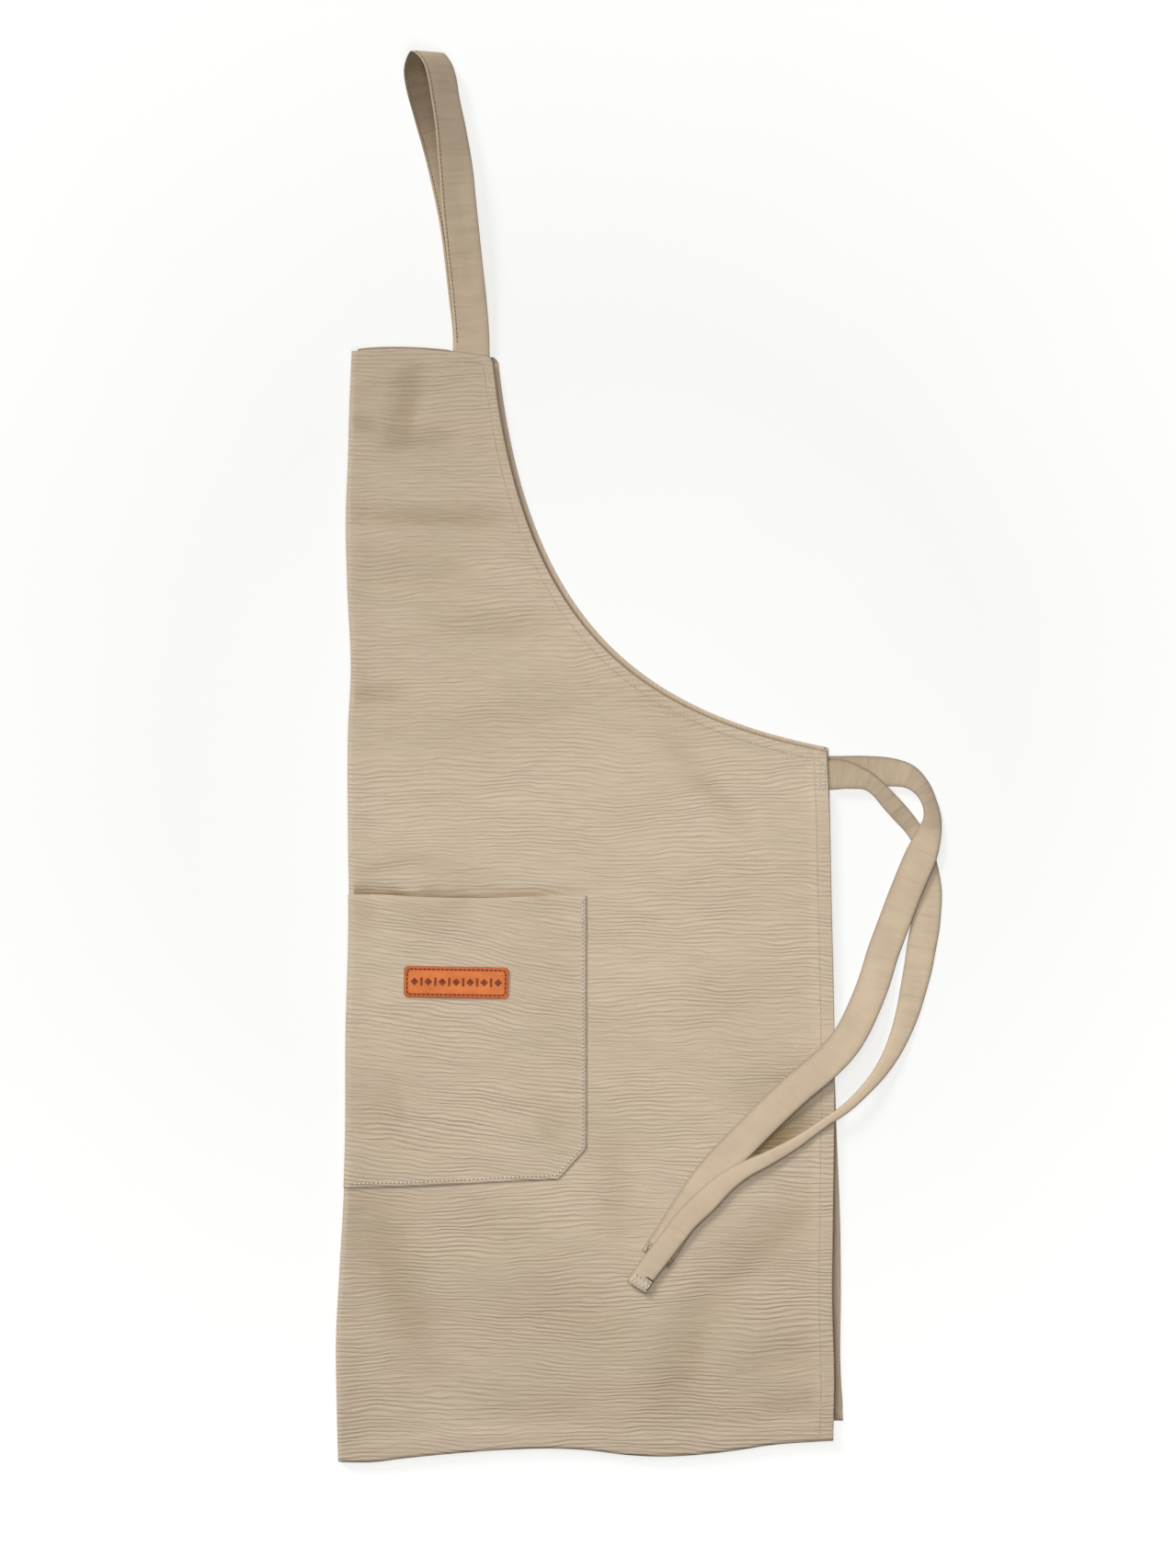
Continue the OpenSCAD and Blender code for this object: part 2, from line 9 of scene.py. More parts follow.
import bpy
import numpy as np
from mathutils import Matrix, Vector


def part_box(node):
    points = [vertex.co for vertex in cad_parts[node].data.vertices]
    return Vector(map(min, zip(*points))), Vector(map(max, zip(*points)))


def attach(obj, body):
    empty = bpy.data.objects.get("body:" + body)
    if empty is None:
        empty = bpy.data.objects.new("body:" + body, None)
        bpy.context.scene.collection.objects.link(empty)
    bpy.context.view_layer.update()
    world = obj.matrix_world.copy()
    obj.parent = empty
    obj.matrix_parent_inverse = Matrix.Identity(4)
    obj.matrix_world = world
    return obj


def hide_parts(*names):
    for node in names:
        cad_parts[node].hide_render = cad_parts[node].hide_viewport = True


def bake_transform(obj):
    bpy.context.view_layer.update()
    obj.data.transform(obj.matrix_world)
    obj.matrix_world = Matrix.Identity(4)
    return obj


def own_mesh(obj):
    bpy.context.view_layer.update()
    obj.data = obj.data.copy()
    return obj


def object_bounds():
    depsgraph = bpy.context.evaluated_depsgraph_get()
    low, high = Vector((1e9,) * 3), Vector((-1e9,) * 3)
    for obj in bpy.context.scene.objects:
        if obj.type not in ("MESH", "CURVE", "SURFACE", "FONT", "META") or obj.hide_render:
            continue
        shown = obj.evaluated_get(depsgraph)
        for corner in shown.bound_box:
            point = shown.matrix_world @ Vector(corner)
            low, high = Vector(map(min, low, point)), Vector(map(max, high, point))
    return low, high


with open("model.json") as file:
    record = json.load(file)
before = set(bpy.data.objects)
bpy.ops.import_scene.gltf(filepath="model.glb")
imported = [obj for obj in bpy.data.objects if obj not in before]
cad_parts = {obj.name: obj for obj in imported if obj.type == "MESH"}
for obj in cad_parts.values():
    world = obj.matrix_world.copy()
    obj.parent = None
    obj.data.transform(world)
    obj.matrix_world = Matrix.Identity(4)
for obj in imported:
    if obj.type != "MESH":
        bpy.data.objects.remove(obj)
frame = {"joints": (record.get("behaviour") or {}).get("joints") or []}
cad_low, cad_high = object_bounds()

MM = 0.001


# ---------------------------------------------------------------- the frame's own measures

def box_mm(node):
    """Lowest and highest corner of a CAD node, in millimetres."""
    low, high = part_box(node)
    return np.array(low) / MM, np.array(high) / MM


hinge = frame["joints"][0]
hinge_at = np.array(hinge["pos_m"]) / MM
hinge_axis = np.array(hinge["axis"])
fold_slope = hinge_axis[0] / hinge_axis[1]
panel_low, panel_high = box_mm("front_panel")
pocket_low, pocket_high = box_mm("front_pocket")
label_low, label_high = box_mm("leather_label")
fold_z = hinge_at[2]                 # height of the fold line
front_top = panel_high[2]            # highest that the front panel may lie
bib_top = panel_high[1]
hem_y = panel_low[1]

CLOTH = 0.6                          # thickness of one layer of canvas
TURN_R = 0.62                        # half the height of a turned edge
BACK_Z = 0.4                         # middle of the back layer where it lies on the surface
HEM_LIFT = front_top - CLOTH / 2     # middle of the front layer where it lies on its hem
INSIDE_Z = HEM_LIFT - 0.9            # and where it lies slack, inside the hems
LOWEST_Z = fold_z + 1.4              # the front layer never sinks lower than this
BEND_START, BEND_END = fold_z - 0.8, fold_z + 0.8       # heights just under and over the fold line; a level hem's front part lies no lower than BEND_END


# ---------------------------------------------------------------- small functions

def smoothstep(low, high, value):
    t = np.clip((np.asarray(value, float) - low) / (high - low), 0, 1)
    return t * t * (3 - 2 * t)


def smooth_value(at, stops):
    """Smooth curve through given stops (place, value), level beyond its ends."""
    places, values = np.array(sorted(stops), float).T
    slope = np.gradient(values, places)
    at = np.clip(np.asarray(at, float), places[0], places[-1])
    i = np.clip(np.searchsorted(places, at) - 1, 0, len(places) - 2)
    span = places[i + 1] - places[i]
    t = (at - places[i]) / span
    return ((2 * t**3 - 3 * t**2 + 1) * values[i] + (t**3 - 2 * t**2 + t) * span * slope[i]
            + (3 * t**2 - 2 * t**3) * values[i + 1] + (t**3 - t**2) * span * slope[i + 1])


def smooth_route(route, step):
    """Catmull-Rom line through given rows, about one sample every step."""
    rows = np.array(route, float)
    padded = np.vstack([2 * rows[0] - rows[1], rows, 2 * rows[-1] - rows[-2]])
    out = []
    for i in range(1, len(padded) - 2):
        a, b, c, d = padded[i - 1:i + 3]
        count = max(2, int(round(np.linalg.norm((c - b)[:3]) / step)))
        for t in np.arange(count) / count:
            out.append(0.5 * (2 * b + (c - a) * t + (2 * a - 5 * b + 4 * c - d) * t**2
                              + (3 * b - 3 * c + d - a) * t**3))
    out.append(rows[-1])
    return np.array(out)


def bezier(a, b, c, d, count):
    t = np.linspace(0, 1, count)[:, None]
    a, b, c, d = (np.array(p, float) for p in (a, b, c, d))
    return a * (1 - t)**3 + 3 * b * (1 - t)**2 * t + 3 * c * (1 - t) * t**2 + d * t**3


def polyline_lengths(line):
    """How far along a line each of its points is."""
    return np.concatenate([[0], np.cumsum(np.linalg.norm(np.diff(line, axis=0), axis=1))])


def resample(line, step):
    """The same line with points every step along it."""
    line = np.asarray(line, float)
    gone = polyline_lengths(line)
    count = max(2, int(round(gone[-1] / step)) + 1)
    at = np.linspace(0, gone[-1], count)
    return np.stack([np.interp(at, gone, line[:, k]) for k in range(line.shape[1])], 1)


def unit_rows(rows):
    return rows / np.linalg.norm(rows, axis=-1, keepdims=True)


def plan_normals(line):
    """Unit vectors to the right of the line, in plan."""
    ahead = unit_rows(np.gradient(line[:, :2], axis=0))
    return np.stack([ahead[:, 1], -ahead[:, 0]], 1)


def distance_to(line, x, y):
    """Distance in plan from points to a line."""
    points = np.stack([np.ravel(x), np.ravel(y)], 1)
    best = np.full(len(points), 1e9)
    for a, b in zip(line[:-1], line[1:]):
        along = b - a
        t = np.clip((points - a) @ along / (along @ along), 0, 1)
        best = np.minimum(best, np.linalg.norm(points - a - t[:, None] * along, axis=1))
    return best.reshape(np.shape(x))


# ---------------------------------------------------------------- camera

VIEW_CENTRE = (-1.3, -19.8)          # what the camera looks straight down at
VIEW_HEIGHT = 1126                   # height of the view at the cloth
CAMERA_UP = 2600                     # height of the camera over the cloth
SENSOR = 36


def make_camera():
    data = bpy.data.cameras.new("camera")
    data.sensor_width = SENSOR
    data.lens = SENSOR * CAMERA_UP / VIEW_HEIGHT
    data.clip_end = 20
    camera = bpy.data.objects.new("camera", data)
    camera.location = (VIEW_CENTRE[0] * MM, VIEW_CENTRE[1] * MM, (CAMERA_UP + front_top) * MM)
    bpy.context.scene.collection.objects.link(camera)
    bpy.context.scene.camera = camera


make_camera()


# ---------------------------------------------------------------- materials

class Nodes:
    """A material's node tree, with short ways to add the nodes that this script uses."""

    def __init__(self, name):
        self.material = bpy.data.materials.new(name)
        self.material.use_nodes = True
        self.tree = self.material.node_tree
        self.shader = self.tree.nodes["Principled BSDF"]

    def add(self, kind, settings=(), **inputs):
        node = self.tree.nodes.new("ShaderNode" + kind)
        for key, value in dict(settings).items():
            setattr(node, key, value)
        for key, value in inputs.items():
            self.feed(node.inputs[key.replace("_", " ")], value)
        return node

    def feed(self, socket, value):
        if isinstance(value, bpy.types.NodeSocket):
            self.tree.links.new(value, socket)
        else:
            socket.default_value = value

    def math(self, operation, *values):
        node = self.tree.nodes.new("ShaderNodeMath")
        node.operation = operation
        for socket, value in zip(node.inputs, values):
            self.feed(socket, value)
        return node.outputs[0]

    def times(self, *values):
        return self.math("MULTIPLY", *values)

    def total(self, first, *others):
        for other in others:
            first = self.math("ADD", first, other)
        return first

    def wave(self, value, pitch):
        """Sine of a place in millimetres, repeating every pitch."""
        return self.math("SINE", self.times(value, 2 * math.pi / pitch))

    def attribute(self, name):
        return self.add("Attribute", {"attribute_name": name}).outputs["Fac"]

    def flat(self, turned=0.0):
        """Place on the cloth as it was cut, in millimetres."""
        place = self.add("Attribute", {"attribute_name": "flat"}).outputs["Vector"]
        if turned:
            turn = (0, 0, math.radians(turned))
            place = self.add("Mapping", Vector=place, Rotation=turn).outputs[0]
        return place

    def noise(self, place, stretch, detail=2.0, roughness=0.5):
        """Noise from about 0 to 1, with a stretch per millimetre along each axis."""
        scaled = self.add("Mapping", Vector=place, Scale=stretch).outputs[0]
        node = self.add("TexNoise", Vector=scaled, Scale=1.0, Detail=detail, Roughness=roughness)
        return node.outputs["Fac"]

    def swing(self, place, stretch, reach, detail=2.0, roughness=0.5):
        """Noise about zero, from about -reach / 2 to reach / 2."""
        noise = self.noise(place, stretch, detail, roughness)
        return self.times(self.math("SUBTRACT", noise, 0.5), reach)

    def mix(self, share, first, second, blend="MIX"):
        """Colour from first to second by a share from 0 to 1."""
        node = self.tree.nodes.new("ShaderNodeMix")
        node.data_type = "RGBA"
        node.blend_type = blend
        node.clamp_factor = True
        self.feed(node.inputs[0], share)
        self.feed(node.inputs[6], first)
        self.feed(node.inputs[7], second)
        return node.outputs[2]

    def ramp(self, value, low, high, out_low=0.0, out_high=1.0):
        node = self.add("MapRange", {"clamp": True}, Value=value)
        node.inputs["From Min"].default_value = low
        node.inputs["From Max"].default_value = high
        node.inputs["To Min"].default_value = out_low
        node.inputs["To Max"].default_value = out_high
        return node.outputs[0]

    def tinted(self, colour, red, green, blue):
        """A colour with each of its parts multiplied."""
        tint = self.add("CombineColor", Red=red, Green=green, Blue=blue).outputs[0]
        return self.mix(1.0, colour, tint, "MULTIPLY")

    def bump(self, height, distance, strength):
        return self.add("Bump", Height=height, Distance=distance, Strength=strength).outputs[0]

    def finish(self, colour, normal, roughness, sheen=0.0):
        self.feed(self.shader.inputs["Base Color"], colour)
        self.feed(self.shader.inputs["Normal"], normal)
        self.feed(self.shader.inputs["Roughness"], roughness)
        self.shader.inputs["Specular IOR Level"].default_value = SPECULAR
        self.shader.inputs["Sheen Weight"].default_value = sheen
        self.shader.inputs["Sheen Roughness"].default_value = SHEEN_ROUGHNESS
        return self.material


def rgba(red, green, blue):
    return (red, green, blue, 1.0)


def scaled(colour, share):
    return tuple(c * share for c in colour[:3]) + (1.0,)


SPECULAR = 0.25                      # of cloth, thread and leather
CLOTH_SHEEN, SHEEN_ROUGHNESS = 0.12, 0.5
CANVAS_WARM = rgba(0.552, 0.438, 0.324)
CANVAS_COOL = rgba(0.536, 0.436, 0.316)
STRAP = rgba(0.535, 0.424, 0.296)
THREAD = rgba(0.560, 0.462, 0.345)
STRAP_PINK = rgba(0.530, 0.412, 0.300)
STRAP_SHADE = rgba(0.130, 0.090, 0.052)                 # painted shade inside the neck loop and on the ties near their sewn ends
PALE_THREAD = rgba(0.72, 0.64, 0.52)
STRAP_THREAD = rgba(0.30, 0.22, 0.145)
LABEL_THREAD = rgba(0.15, 0.020, 0.008)
LEATHER = rgba(0.60, 0.150, 0.030)
LEATHER_PALE = rgba(0.66, 0.180, 0.038)
LEATHER_RIM = rgba(0.33, 0.055, 0.014)
LEATHER_DARK = rgba(0.14, 0.014, 0.006)

RIB_PITCH = 3.1                      # from one rib of the canvas to the next
THREAD_PITCH = 0.9                   # from one woven thread to the next
RIB_DRIFT, RIB_WOBBLE = 26.0, 4.2    # how far the ribs wander, over long and over short stretches
RIB_HEIGHT, SLUB_HEIGHT, WEAVE_HEIGHT = 0.19, 1.05, 0.02
PAINTED_SHADE_STRENGTH = 0.17                  # painted shade: darkening where the painted shade attribute is 1
WARM_SHADE = (1.12, 1.35)            # how much more than red the green and the blue darken
TWILL_PITCH = 1.3


def canvas_material(name, shade=1.0, rib=1.0, turned=0.0, shaded_by="hollow"):
    """Plain-woven canvas with fine, wavy crosswise ribs, and painted shade where an attribute marks it."""
    n = Nodes(name)
    place = n.flat(turned)
    x, y, _ = n.add("SeparateXYZ", Vector=place).outputs
    moved = n.total(y, n.swing(place, (0.007, 0.012, 1), RIB_DRIFT),
                    n.swing(place, (0.035, 0.10, 1), RIB_WOBBLE))
    strength = n.ramp(n.noise(place, (0.010, 0.022, 1)), 0.36, 0.62, 0.25, 1.0)
    ribs = n.times(n.wave(moved, RIB_PITCH), strength)
    along_ribs = n.add("CombineXYZ", X=x, Y=moved).outputs[0]
    slub = n.swing(along_ribs, (0.045, 0.62, 1), 1.0, 4.0, 0.7)
    weave = n.times(n.wave(x, THREAD_PITCH), n.wave(y, THREAD_PITCH))
    grain = n.noise(place, (1.6, 1.6, 1), 2.0)
    height = n.total(n.times(ribs, RIB_HEIGHT * rib), n.times(slub, SLUB_HEIGHT * rib),
                     n.times(weave, WEAVE_HEIGHT))

    patches = n.ramp(n.noise(place, (0.011, 0.018, 1), 3.0), 0.36, 0.64)
    colour = n.mix(patches, scaled(CANVAS_COOL, shade), scaled(CANVAS_WARM, shade))
    broad = n.ramp(n.noise(place, (0.005, 0.008, 1), 1.0), 0.3, 0.7, 0.965, 1.035)
    lines = n.total(n.times(ribs, 0.05 * rib), n.times(slub, 0.30))
    speck = n.times(n.math("SUBTRACT", grain, 0.5), 0.08)
    # painted shade: the colour darkens where the shaded_by attribute marks shade, over the random tone, rib
    # lines and specks
    light = n.total(broad, n.times(n.attribute(shaded_by), -PAINTED_SHADE_STRENGTH), lines, speck)
    green, blue = (n.math("MULTIPLY_ADD", light, share, 1 - share) for share in WARM_SHADE)
    colour = n.tinted(colour, light, green, blue)
    return n.finish(colour, n.bump(height, MM, 0.9), n.ramp(grain, 0.3, 0.7, 0.86, 0.96), CLOTH_SHEEN)


def strap_material(name, shade=1.0, edge_share=0.0, seam_share=0.75):
    """The smoother twill of the strap and the ties, with soft mottling along it."""
    n = Nodes(name)
    place = n.flat()
    x, y, _ = n.add("SeparateXYZ", Vector=place).outputs
    twill = n.wave(n.total(x, y), TWILL_PITCH)
    grain = n.noise(place, (0.9, 1.8, 1), 3.0)
    crease = n.swing(place, (0.11, 0.025, 1), 2.0)
    height = n.total(n.times(twill, 0.03), n.times(grain, 0.14), crease)
    patches = n.ramp(n.noise(place, (0.03, 0.05, 1), 2.0), 0.35, 0.65)
    colour = n.mix(patches, scaled(STRAP, shade * 0.95), scaled(STRAP, shade * 1.06))
    pink = n.ramp(n.noise(place, (0.018, 0.03, 1), 2.0), 0.45, 0.7)
    colour = n.mix(pink, colour, scaled(STRAP_PINK, shade))
    speck = n.total(1.0, n.times(n.math("SUBTRACT", grain, 0.5), 0.10))
    colour = n.tinted(colour, speck, speck, speck)
    # dark lines along both edges: partly the seam at the folded edge, partly painted shade where the strip
    # meets what it lies on
    colour = n.mix(n.times(n.attribute("seam"), seam_share), colour, scaled(STRAP, 0.36))
    colour = n.mix(n.times(n.attribute("edge"), edge_share), colour, scaled(STRAP, shade * 1.25))
    # painted shade where the shade attribute marks it
    colour = n.mix(n.attribute("shade"), colour, STRAP_SHADE)
    return n.finish(colour, n.bump(height, MM, 0.8), n.ramp(grain, 0.3, 0.7, 0.84, 0.95), CLOTH_SHEEN)


def thread_material(name, colour):
    """Twisted sewing thread, with painted shade at the ends of each stitch."""
    n = Nodes(name)
    place = n.flat()
    x, y, _ = n.add("SeparateXYZ", Vector=place).outputs
    twist = n.math("SINE", n.times(n.total(x, n.times(y, 1.5)), 9.0))
    worn = n.noise(place, (0.08, 0.08, 1), 2.0)
    mixed = n.mix(n.ramp(worn, 0.35, 0.65), scaled(colour, 0.9), scaled(colour, 1.08))
    # painted shade at the stitch ends
    mixed = n.mix(n.attribute("sunk"), mixed, scaled(colour, 0.28))
    return n.finish(mixed, n.bump(n.times(twist, 0.05), MM, 0.8), n.ramp(worn, 0.3, 0.7, 0.6, 0.75), 0.1)


def leather_material(name):
    """Smooth orange-tan leather, darker and burnished at its rim, dark where it is pressed."""
    n = Nodes(name)
    place = n.flat()
    pores = n.noise(place, (2.2, 2.2, 1), 4.0, 0.65)
    cloudy = n.noise(place, (0.07, 0.12, 1), 3.0)
    colour = n.mix(n.ramp(cloudy, 0.35, 0.65), scaled(LEATHER, 0.93), LEATHER_PALE)
    colour = n.mix(n.times(n.attribute("rim"), 0.75), colour, LEATHER_RIM)
    patchy = n.ramp(n.noise(place, (0.5, 0.5, 1), 3.0), 0.3, 0.6, 0.75, 1.0)
    colour = n.mix(n.times(n.attribute("pressed"), patchy), colour, LEATHER_DARK)
    return n.finish(colour, n.bump(pores, 0.12 * MM, 0.7), n.ramp(pores, 0.3, 0.7, 0.42, 0.58))


MATERIALS = {
    "canvas": canvas_material("apron_canvas"),
    "canvas_inside": canvas_material("apron_canvas_inside", shaded_by="hollow_inside"),
    "pocket": canvas_material("pocket_canvas", 1.0, 1.1, 7.0),
    "pocket_inside": canvas_material("pocket_canvas_inside", 1.0, 1.1, 7.0, "hollow_inside"),
    "hem": canvas_material("hem_canvas", 0.98, 0.5),
    "strap": strap_material("strap_canvas", 1.0, 0.8, 0.35),
    "tie": strap_material("tie_canvas", 1.04),
    "thread": thread_material("sewing_thread", THREAD),
    "pale_thread": thread_material("pale_sewing_thread", PALE_THREAD),
    "strap_thread": thread_material("strap_sewing_thread", STRAP_THREAD),
    "dark_thread": thread_material("label_thread", LABEL_THREAD),
    "leather": leather_material("label_leather"),
}


# ---------------------------------------------------------------- meshes

def make_piece(name, points, faces, material, flat, **attributes):
    """A mesh object from points in millimetres, with its flat places and other attributes."""
    mesh = bpy.data.meshes.new(name)
    points = np.asarray(points, float)
    mesh.from_pydata((points * MM).tolist(), [], [list(map(int, f)) for f in faces])
    mesh.polygons.foreach_set("use_smooth", [True] * len(mesh.polygons))
    flat = np.asarray(flat, float)
    if flat.shape[1] == 2:
        flat = np.column_stack([flat, np.zeros(len(flat))])
    mesh.attributes.new("flat", "FLOAT_VECTOR", "POINT").data.foreach_set(
        "vector", flat.astype(np.float32).ravel())
    for key, values in attributes.items():
        mesh.attributes.new(key, "FLOAT", "POINT").data.foreach_set(
            "value", np.asarray(values, np.float32))
    mesh.materials.append(MATERIALS[material])
    piece = bpy.data.objects.new(name, mesh)
    bpy.context.scene.collection.objects.link(piece)
    return piece


def grid_faces(rows, columns, closed=False):
    """Quads between neighbouring rows and columns; closed joins the last column to the first."""
    index = np.arange(rows * columns).reshape(rows, columns)
    right = np.roll(index, -1, 1)
    if not closed:
        index, right = index[:, :-1], right[:, :-1]
    return np.stack([index[:-1], index[1:], right[1:], right[:-1]], -1).reshape(-1, 4)


def grid_piece(name, rows, material, flat, flip=False, **attributes):
    """A piece from a grid of points, with its flat places and attributes on the same grid."""
    faces = grid_faces(*rows.shape[:2])
    attributes = {key: np.ravel(values) for key, values in attributes.items()}
    return make_piece(name, rows.reshape(-1, 3), faces[:, ::-1] if flip else faces, material,
                      flat.reshape(-1, 2), **attributes)


def thicken(piece, thickness, inside=None):
    """Gives cloth its thickness, and its wrong side a material of its own if one is named."""
    solid = piece.modifiers.new("thickness", "SOLIDIFY")
    solid.thickness = thickness * MM
    solid.offset = 0
    solid.use_even_offset = False
    if inside is not None:
        piece.data.materials.append(MATERIALS[inside])
        solid.material_offset = 1
    return piece


# ---------------------------------------------------------------- outline of the apron

# How far the fold wanders from its straight line: height, offset
FOLD_WANDER = [(bib_top, 2.2), (255, 0.9), (213, 0.2), (172, -0.9), (125, 0.6), (58, 4.0), (22, 2.6),
               (-60, 3.4), (-117, 4.9), (-200, 3.8), (-275, 4.2), (-320, 3.0), (-368, 0.8),
               (-420, -1.2), (-470, 0.2), (hem_y, 2.0)]
BIB_W = 103                          # from the fold to the armhole corner
PEEK = 4                             # how far the back half shows beyond the front one
BIB_DROP = 6                         # the armhole corner lies this much lower than the bib top
BACK_BIB_RISE, BACK_HEM_RISE = 1.9, 13.5                # how the back half's edges differ in height
LOWEST_ROW = -491                    # y of the lowest row of the cloth before it settles on its hem
WAIST = (170, 3)
BIB_CROWN = [(-172, 0.6), (-159, 2.2), (-133, 2.8), (-100, 0.6), (-86, -0.8), (-72, -2.9)]
BOTTOM_WAVE = [(-184, -0.6), (-156, -0.8), (-133, 2.0), (-107, 4.6), (-54, 8.4), (-27, 9.0), (0, 7.6),
               (25, 4.5), (52, 3.2), (78, 4.5), (105, 7.6), (131, 11.6), (158, 13.6), (176, 14.6)]
SIDE_LINE = [(3, 170), (-24, 171.4), (-104, 173.4), (-216, 175.6), (-330, 174.6), (-390, 174.0),
             (-447, 175.4), (-491, 174.6)]
BACK_SIDE_LINE = [(9, 171.5), (-60, 173), (-160, 174.5), (-260, 177), (-340, 180), (-390, 180.4),
                  (-430, 180.0), (-478, 182)]


def fold_edge(y):
    """x of the outermost cloth at the fold."""
    return hinge_at[0] + (y - hinge_at[1]) * fold_slope + smooth_value(y, FOLD_WANDER)


corner = np.array([hinge_at[0] + bib_top * fold_slope + BIB_W, bib_top - BIB_DROP])


def armhole_line(peek):
    """The curved edge from the bib corner to the waist, moved out by peek."""
    lift = peek * 0.9
    curved = bezier(corner + [peek, 0], (-50 + peek, 91 + lift), (34 + peek, 29 + lift),
                    (WAIST[0], WAIST[1] + lift), 150)
    rounded = np.array([[corner[0] - 3 + peek, bib_top - 3], [corner[0] - 1.2 + peek, bib_top - 4.2]])
    return np.vstack([rounded, curved])


def side_edge(peek):
    """The armhole and the side edge of one half, from the bib top to the bottom corner."""
    stops = BACK_SIDE_LINE if peek else SIDE_LINE
    armhole = armhole_line(peek)
    ys = np.linspace(min(stops[0][0], armhole[-1, 1] - 0.5), stops[-1][0], 190)
    side = np.stack([smooth_value(ys, stops), ys], 1)
    return armhole, side


ARMHOLE, SIDE = side_edge(0)
BACK_ARMHOLE, BACK_SIDE = side_edge(PEEK)


def bib_edge(x, back=False):
    rise = BACK_BIB_RISE * (1 - smoothstep(-104, -92, x)) if back else 0.0
    return bib_top + smooth_value(x, BIB_CROWN) + rise


def bottom_edge(x, back=False):
    rise = BACK_HEM_RISE * smoothstep(-170, 176, x) if back else 0.0
    return hem_y + smooth_value(x, BOTTOM_WAVE) + rise


def edge_line(edge, y, last_x, count, *back):
    """Points of a top or bottom edge from the fold outwards."""
    return np.array([[x, edge(x, *back)] for x in np.linspace(fold_edge(y) + fold_z, last_x, count)])


BIB = edge_line(bib_edge, bib_top, corner[0] - 1.5, 30)
BOTTOM = edge_line(bottom_edge, hem_y, 174.6, 70)
BACK_BOTTOM = edge_line(bottom_edge, hem_y, 181, 70, True)


# ---------------------------------------------------------------- heights of the two layers

BIB_HEM, ARMHOLE_HEM, SIDE_HEM, BOTTOM_HEM = 24, 8, 12, 14
ARMHOLE_ROW, SIDE_ROW = 6.5, 9.5     # rows of stitches, in from the edge
ROW_DIP = 0.35                       # how deep a row of stitches pulls the cloth in
PUCKER_PITCH = 9                     # from one pucker of the armhole to the next
FRONT_DROP = 0.12                    # how far the front layer lies under its highest
WAVE_HEIGHT, RIPPLE_HEIGHT, SLACK_DROP = 0.42, 0.14, 0.35    # of the slack cloth inside the hems

POCKET_MOUTH = pocket_high[1]
POCKET_BOTTOM = pocket_low[1]
POCKET_SIDE = pocket_high[0]
POCKET_CUT = (20, 22)                # width and height of the cut lower corner
POCKET_ON = 0.66                     # from the middle of the panel to the middle of the pocket on it
POCKET_GAP = 4.6                     # how far the pocket stands off the panel at its mouth
MOUTH_SAG = [(-180, 1.6), (-150, 1.2), (-120, -0.6), (-80, -1.4), (-40, -0.2), (-10, 0.6), (0, 0.4)]
BOTTOM_SLANT = [(-184, -4.4), (-120, -2.6), (-60, 0.4), (-20, 2.2)]

# Soft valleys pressed or fallen into the cloth: both ends, half width and depth
VALLEYS = [
    (-122, 286, -146, 214, 10, 2.0), (-150, 226, -92, 228, 10, 1.3), (-176, 243, -150, 232, 7, 1.1),
    (-178, 173, -52, 172, 8, 2.0), (-170, 137, -70, 132, 22, 0.8), (-120, 95, -22, 92, 11, 1.0),
    (-177, 42, -128, 44, 7, 1.2), (-110, 20, -10, 28, 20, 0.45), (52, 16, 118, -58, 9, 1.0),
    (-160, -70, -60, -92, 9, 0.9), (-172, -84, -128, -78, 6, 0.8), (40, -90, 130, -100, 22, 0.4),
    (-168, -300, -112, -452, 20, 1.5), (14, -268, 22, -352, 13, 1.0), (168, -312, 76, -392, 16, 1.5),
    (84, -380, 52, -478, 17, 1.3), (100, -440, 172, -420, 14, 0.8), (120, -470, 172, -462, 9, 0.7),
    (-90, -470, 10, -466, 14, 0.8), (-60, -380, 30, -420, 24, 0.6), (-30, -340, -100, -330, 14, 0.5),
    (-178, -96.5, -132, -96.0, 3.6, 2.6), (-124, -97.5, -84, -98.0, 3.4, 2.8), (-92, -98, 4, -97, 2.6, 1.6),
    (60, -180, 150, -170, 24, 0.5), (100, -250, 168, -240, 18, 0.8), (20, 60, 90, 10, 14, 0.5),
]


def seeded_waves(count, long_x, long_y, seed):
    draw = random.Random(seed)
    return [(draw.uniform(*long_x), draw.uniform(*long_y), draw.choice((-1, 1)), draw.uniform(0, 6.28))
            for _ in range(count)]


WAVES = seeded_waves(9, (130, 420), (55, 150), 11)
RIPPLES = seeded_waves(7, (60, 160), (22, 48), 23)


def waves(x, y, table):
    """Sum of seeded waves, from about -1 to 1."""
    total = np.zeros(np.shape(x))
    for across, up, way, phase in table:
        total = total + np.sin(2 * math.pi * (x / across * way + y / up) + phase)
    return total / math.sqrt(2 * len(table))


def valleys(x, y):
    total = np.zeros(np.shape(x))
    for x0, y0, x1, y1, width, depth in VALLEYS:
        length = math.hypot(x1 - x0, y1 - y0)
        ux, uy = (x1 - x0) / length, (y1 - y0) / length
        along = (x - x0) * ux + (y - y0) * uy
        across = (y - y0) * ux - (x - x0) * uy
        fade = 0.35 * length
        ends = smoothstep(-0.4 * fade, fade, along) * smoothstep(-0.4 * fade, fade, length - along)
        total = total + depth * np.exp(-(across / width)**2) * ends
    return total


def line_share(x, y, line, sharp=2):
    """1 on a line between two ends, falling to 0 over its half width."""
    x0, y0, x1, y1, width = line
    length = math.hypot(x1 - x0, y1 - y0)
    along = ((x - x0) * (x1 - x0) + (y - y0) * (y1 - y0)) / length
    across = ((y - y0) * (x1 - x0) - (x - x0) * (y1 - y0)) / length
    ends = smoothstep(0, 8, along) * smoothstep(0, 0.8 * length, length - along)
    return np.exp(-np.abs(across / width)**sharp) * ends
